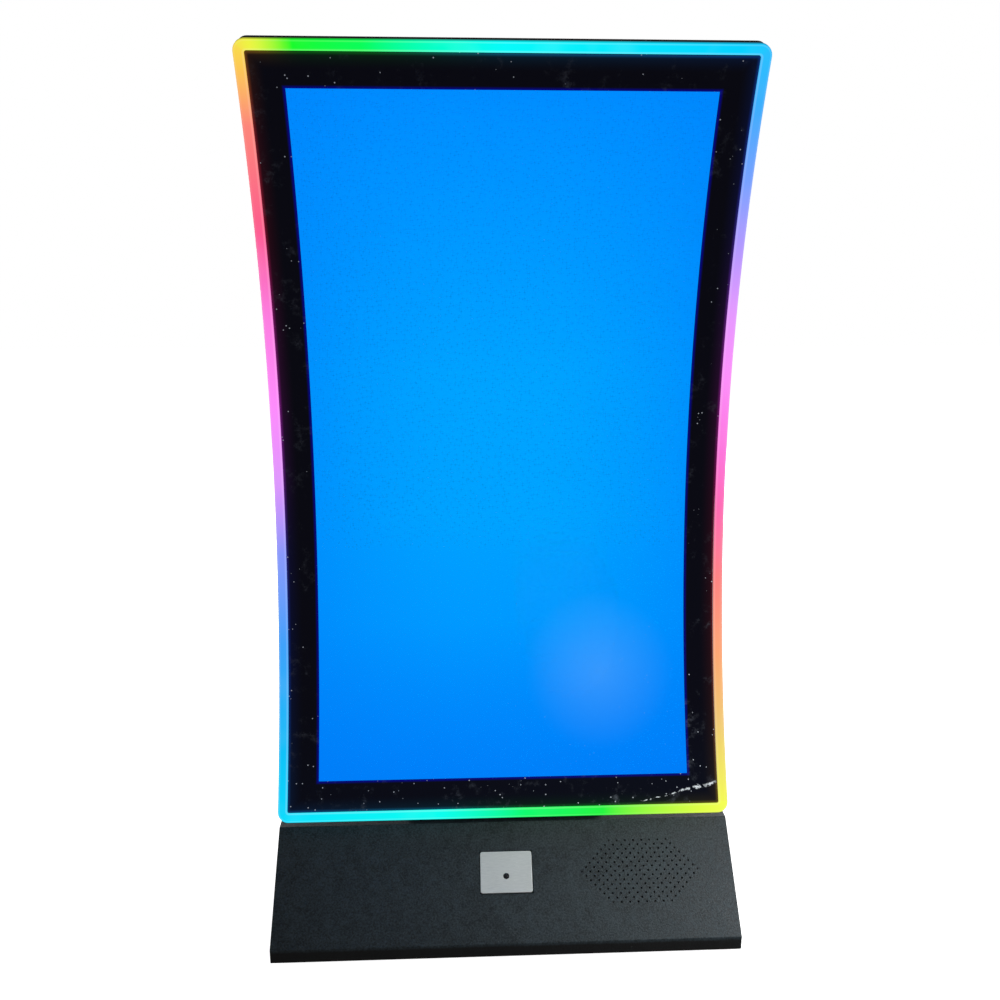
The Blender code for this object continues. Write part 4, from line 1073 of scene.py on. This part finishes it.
def fixings():
    """Screws wherever sheet parts meet, the inlet's blades, and the lock's key slot."""
    def both(x, rest):
        return [(side * x, *place) for side in (-1, 1) for place in rest]

    def rear(node):
        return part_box(node)[1][1]
    back = (0, 1, 0)
    low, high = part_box("rear_cover")[0][2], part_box("rear_cover")[1][2]
    rows = np.linspace(low + 22 * MM, high - 16 * MM, 4)
    face = rear("rear_cover")
    screws("cover_screws", both(0.188, [(face, z) for z in rows])
           + [(0, face, rows[0]), (0, face, rows[3])], back, ROOT, 3.4)
    screws("neck_screws", both(0.140, [(rear("neck_cover"), z) for z in (0.156, 0.27, 0.384)]),
           back, ROOT)
    turns = np.linspace(-0.385, 0.385, 6)
    ways = [(0, cos(a), sin(a)) for a in turns]
    rim = [tuple((GLASS_R + TRAY_DEPTH) * np.array(way[1:]) + [CENTRE_Y, CENTRE_Z]) for way in ways]
    ends = [(x, *rim[k]) for k in (0, 5) for x in (-0.15, 0.0, 0.15)]
    screws("tray_screws", both(0.304, rim) + ends,
           ways * 2 + [ways[k] for k in (0, 5) for _ in range(3)], ROOT, 3.0)
    reach = 50.4 * MM * cos(pi / 4)
    screws("fan_screws", [(FAN_CENTRE.x + sx * reach, rear("fan_guard"), FAN_CENTRE.z + sz * reach)
                          for sx in (-1, 1) for sz in (-1, 1)], back, ROOT, 3.0, BRIGHT)
    low, high = (Vector(c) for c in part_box("power_inlet"))
    centre = middle("power_inlet")
    screws("inlet_screws", [(centre.x, high.y, z) for z in (low.z + 3.8 * MM, high.z - 4 * MM)],
           back, ROOT, 2.4)
    blade = upright(slab(1 * MM, 2.2 * MM, 0, 10.5 * MM, 0.4 * MM, 0.4 * MM, (0, 0)))
    places = [(centre.x + x * MM, high.y - 16 * MM, centre.z + z * MM)
              for x, z in ((-7, -18.5), (7, -18.5), (0, -13.5))]
    piece("inlet_blades", *joined([blade + np.array(place) for place in places]), BRIGHT, ROOT,
          "bright_steel")
    for name, x, face, body in (
            ("fixed_leaf_screws", -0.2265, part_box("hinge_fixed_leaf")[0][1] + 1.2 * MM, ROOT),
            ("moving_leaf_screws", -0.1965, rear("service_door") + 1.5 * MM, "service_door")):
        screws(name, [(x, face, z) for z in (0.04, 0.075, 0.11)], back, body, 2.8, BRIGHT)
    side = SHELL_HIGH[0]
    for name, way in (("left", -1), ("right", 1)):
        screws(name + "_side_screws", [(way * side, y, 0.0142) for y in (-0.12, 0.0, 0.12)],
               (way, 0, 0), ROOT, 2.8)
    slot = upright(slab(0.7 * MM, 3.2 * MM, -1 * MM, 0.12 * MM, 0.4 * MM, 0.05 * MM, (0, 0)))
    place = middle("lock_cylinder").x, rear("lock_cylinder"), 0.075
    skin("key_slot", slot + place, LENS, "lock_cylinder", "lens_dark")


# ---- everything else

front_glass()
halo_frame()
display_tray()
console_shell()
button_cap()
lens()
foot_pads()
fan_wheel()
wire_guard()

for row in (("rear_cover", "rear_box", HOUSING, ROOT, "housing_coat", 1.2 * MM, 3),
            ("neck_cover", "neck_panel", HOUSING, ROOT, "housing_coat", 1.0 * MM, 3),
            ("service_door", "service_panel", COAT, "service_door", "console_coat", 0.6 * MM, 3),
            ("neck_bracket_left", "left_bracket", ZINC, ROOT, "zinc_steel", 0.5 * MM),
            ("neck_bracket_right", "right_bracket", ZINC, ROOT, "zinc_steel", 0.5 * MM),
            ("bottom_plate", "floor_plate", ZINC, ROOT, "zinc_steel"),
            ("hinge_fixed_leaf", "fixed_leaf", BRIGHT, ROOT, "bright_steel", 0.3 * MM),
            ("hinge_moving_leaf", "moving_leaf", BRIGHT, "service_door", "bright_steel", 0.3 * MM),
            ("fan_frame", "fan_housing", BLACK, ROOT, "black_plastic", 0.5 * MM),
            ("power_inlet", "inlet_body", BLACK, ROOT, "black_plastic", 0.5 * MM),
            ("power_rocker", "rocker_key", BLACK, "power_rocker", "black_plastic", 0.5 * MM),
            ("power_supply", "supply_case", VENTED, ROOT, "frame_aluminium", 0.8 * MM),
            ("lock_body", "lock_barrel", BRIGHT, "service_door", "bright_steel", 0.3 * MM),
            ("board_plate", "mounting_plate", ZINC, ROOT, "zinc_steel"),
            ("button_housing", "button_bezel", BLACK, ROOT, "black_plastic"),
            ("switch_body", "switch_case", GREY, ROOT, "grey_plastic")):
    refined(*row)
for row in (("display_cable", "display_lead", SHEATH, ROOT, "lead_sheath"),
            ("speaker_lead", "driver_lead", SHEATH, ROOT, "lead_sheath"),
            ("button_lead", "switch_lead", SHEATH, ROOT, "lead_sheath"),
            ("mains_lead", "supply_lead", SHEATH, ROOT, "lead_sheath"),
            ("speaker_basket", "driver_basket", BLACK, ROOT, "black_plastic"),
            ("switch_plunger", "plunger", BLACK, "switch_plunger", "black_plastic"),
            ("hinge_pin", "pin", BRIGHT, ROOT, "bright_steel"),
            ("lock_cylinder", "lock_plug", BRIGHT, "lock_cylinder", "bright_steel"),
            *((f"board_post_{k}", f"post_{k}", BRIGHT, ROOT, "bright_steel") for k in range(1, 5))):
    refined(*row, edge=0, sharp=50)
speaker()
return_spring()
boards()
fixings()

repaint(LIT, "lcd_panel")
repaint(ALLOY, "mid_frame")
repaint(GUIDE, "backlight_unit")
repaint(FOAM, "glass_gasket")
repaint(TAPE, "led_strip_left", "led_strip_right", "led_strip_top", "led_strip_bottom")


# ---- floor, light and camera

def studio():
    floor = bpy.data.meshes.new("studio_floor")
    floor.from_pydata([(-9, -9, 0), (9, -9, 0), (9, 9, 0), (-9, 9, 0)], [], [(0, 1, 2, 3)])
    plane = added("studio_floor", floor)
    paint = Finish("studio_floor", roughness=0.9, specular_ior_level=0.1, emission_strength=0.95)
    paint.set("Base Color", paint.mix(paint.noise(0.8), (0.88, 0.88, 0.88), (0.92, 0.92, 0.92)))
    paint.set("Emission Color", (1, 1, 1))
    floor.materials.append(paint.material)
    plane.visible_diffuse = plane.visible_glossy = False

    world = bpy.data.worlds.new("studio")
    bpy.context.scene.world = world
    world.use_nodes = True
    nodes, links = world.node_tree.nodes, world.node_tree.links
    shown = nodes.new("ShaderNodeLightPath")
    back = nodes["Background"]
    level = nodes.new("ShaderNodeMapRange")
    level.inputs["To Min"].default_value = 0.09
    level.inputs["To Max"].default_value = 1.0
    links.new(shown.outputs["Is Camera Ray"], level.inputs["Value"])
    links.new(level.outputs["Result"], back.inputs["Strength"])
    back.inputs["Color"].default_value = (1, 1, 1, 1)

    for name, spot, aim, size, power, tint in (
            ("overhead", (0.9, -1.0, 2.3), (0.3, -0.1, 0), 1.2, 1.5, (1, 1, 1)),
            ("key", (0.64, -0.45, 0.42), (0.2, -0.1, 0.07), 0.26, 2.6, (0.98, 1, 1)),
            ("fill", (0.14, -0.42, 0.45), (0.05, -0.1, 0.07), 0.2, 0.42, (1, 0.98, 1)),
            ("left", (-2.6, 0.6, 0.9), (0, 0, 0.5), 1.2, 8, (0.9, 0.95, 1)),
            ("right", (2.8, 0.6, 0.9), (0, 0, 0.5), 1.2, 12, (1, 1, 1)),
            ("behind_left", (-2.3, 2.6, 0.9), (0, 0, 0.5), 1.3, 75, (1, 0.96, 0.92)),
            ("behind_right", (2.3, 2.6, 0.9), (0, 0, 0.5), 1.3, 110, (1, 0.97, 0.93)),
            ("spill_left", (-0.2, -0.16, 0.22), (-0.2, -0.08, 0.09), 0.16, 0.02, (0.0, 0.45, 1)),
            ("spill_middle", (0.0, -0.16, 0.22), (0.0, -0.08, 0.09), 0.16, 0.008, (0.0, 1, 0.6)),
            ("spill_right", (0.2, -0.16, 0.22), (0.2, -0.08, 0.09), 0.16, 0.02, (0.4, 1, 0.3))):
        lamp = bpy.data.lights.new(name, "AREA")
        lamp.shape = "DISK"
        lamp.size, lamp.energy, lamp.color = size, power, tint
        holder = added(name, lamp)
        holder.location = spot
        holder.rotation_euler = (Vector(aim) - Vector(spot)).to_track_quat("-Z", "Y").to_euler()
        holder.visible_camera = False
        holder.visible_glossy = not name.startswith(("spill", "fill"))


def viewpoint():
    lens_data = bpy.data.cameras.new("viewpoint")
    lens_data.lens, lens_data.sensor_width = 35.5, 36
    lens_data.shift_x, lens_data.shift_y = -0.0053, -0.0059
    holder = added("viewpoint", lens_data)
    holder.location = (-0.0573, -1.3071, 0.9302)
    holder.rotation_euler = (radians(76.401), radians(-0.035), radians(-2.613))
    bpy.context.scene.camera = holder


studio()
viewpoint()
bpy.context.scene.view_settings.view_transform = "Standard"
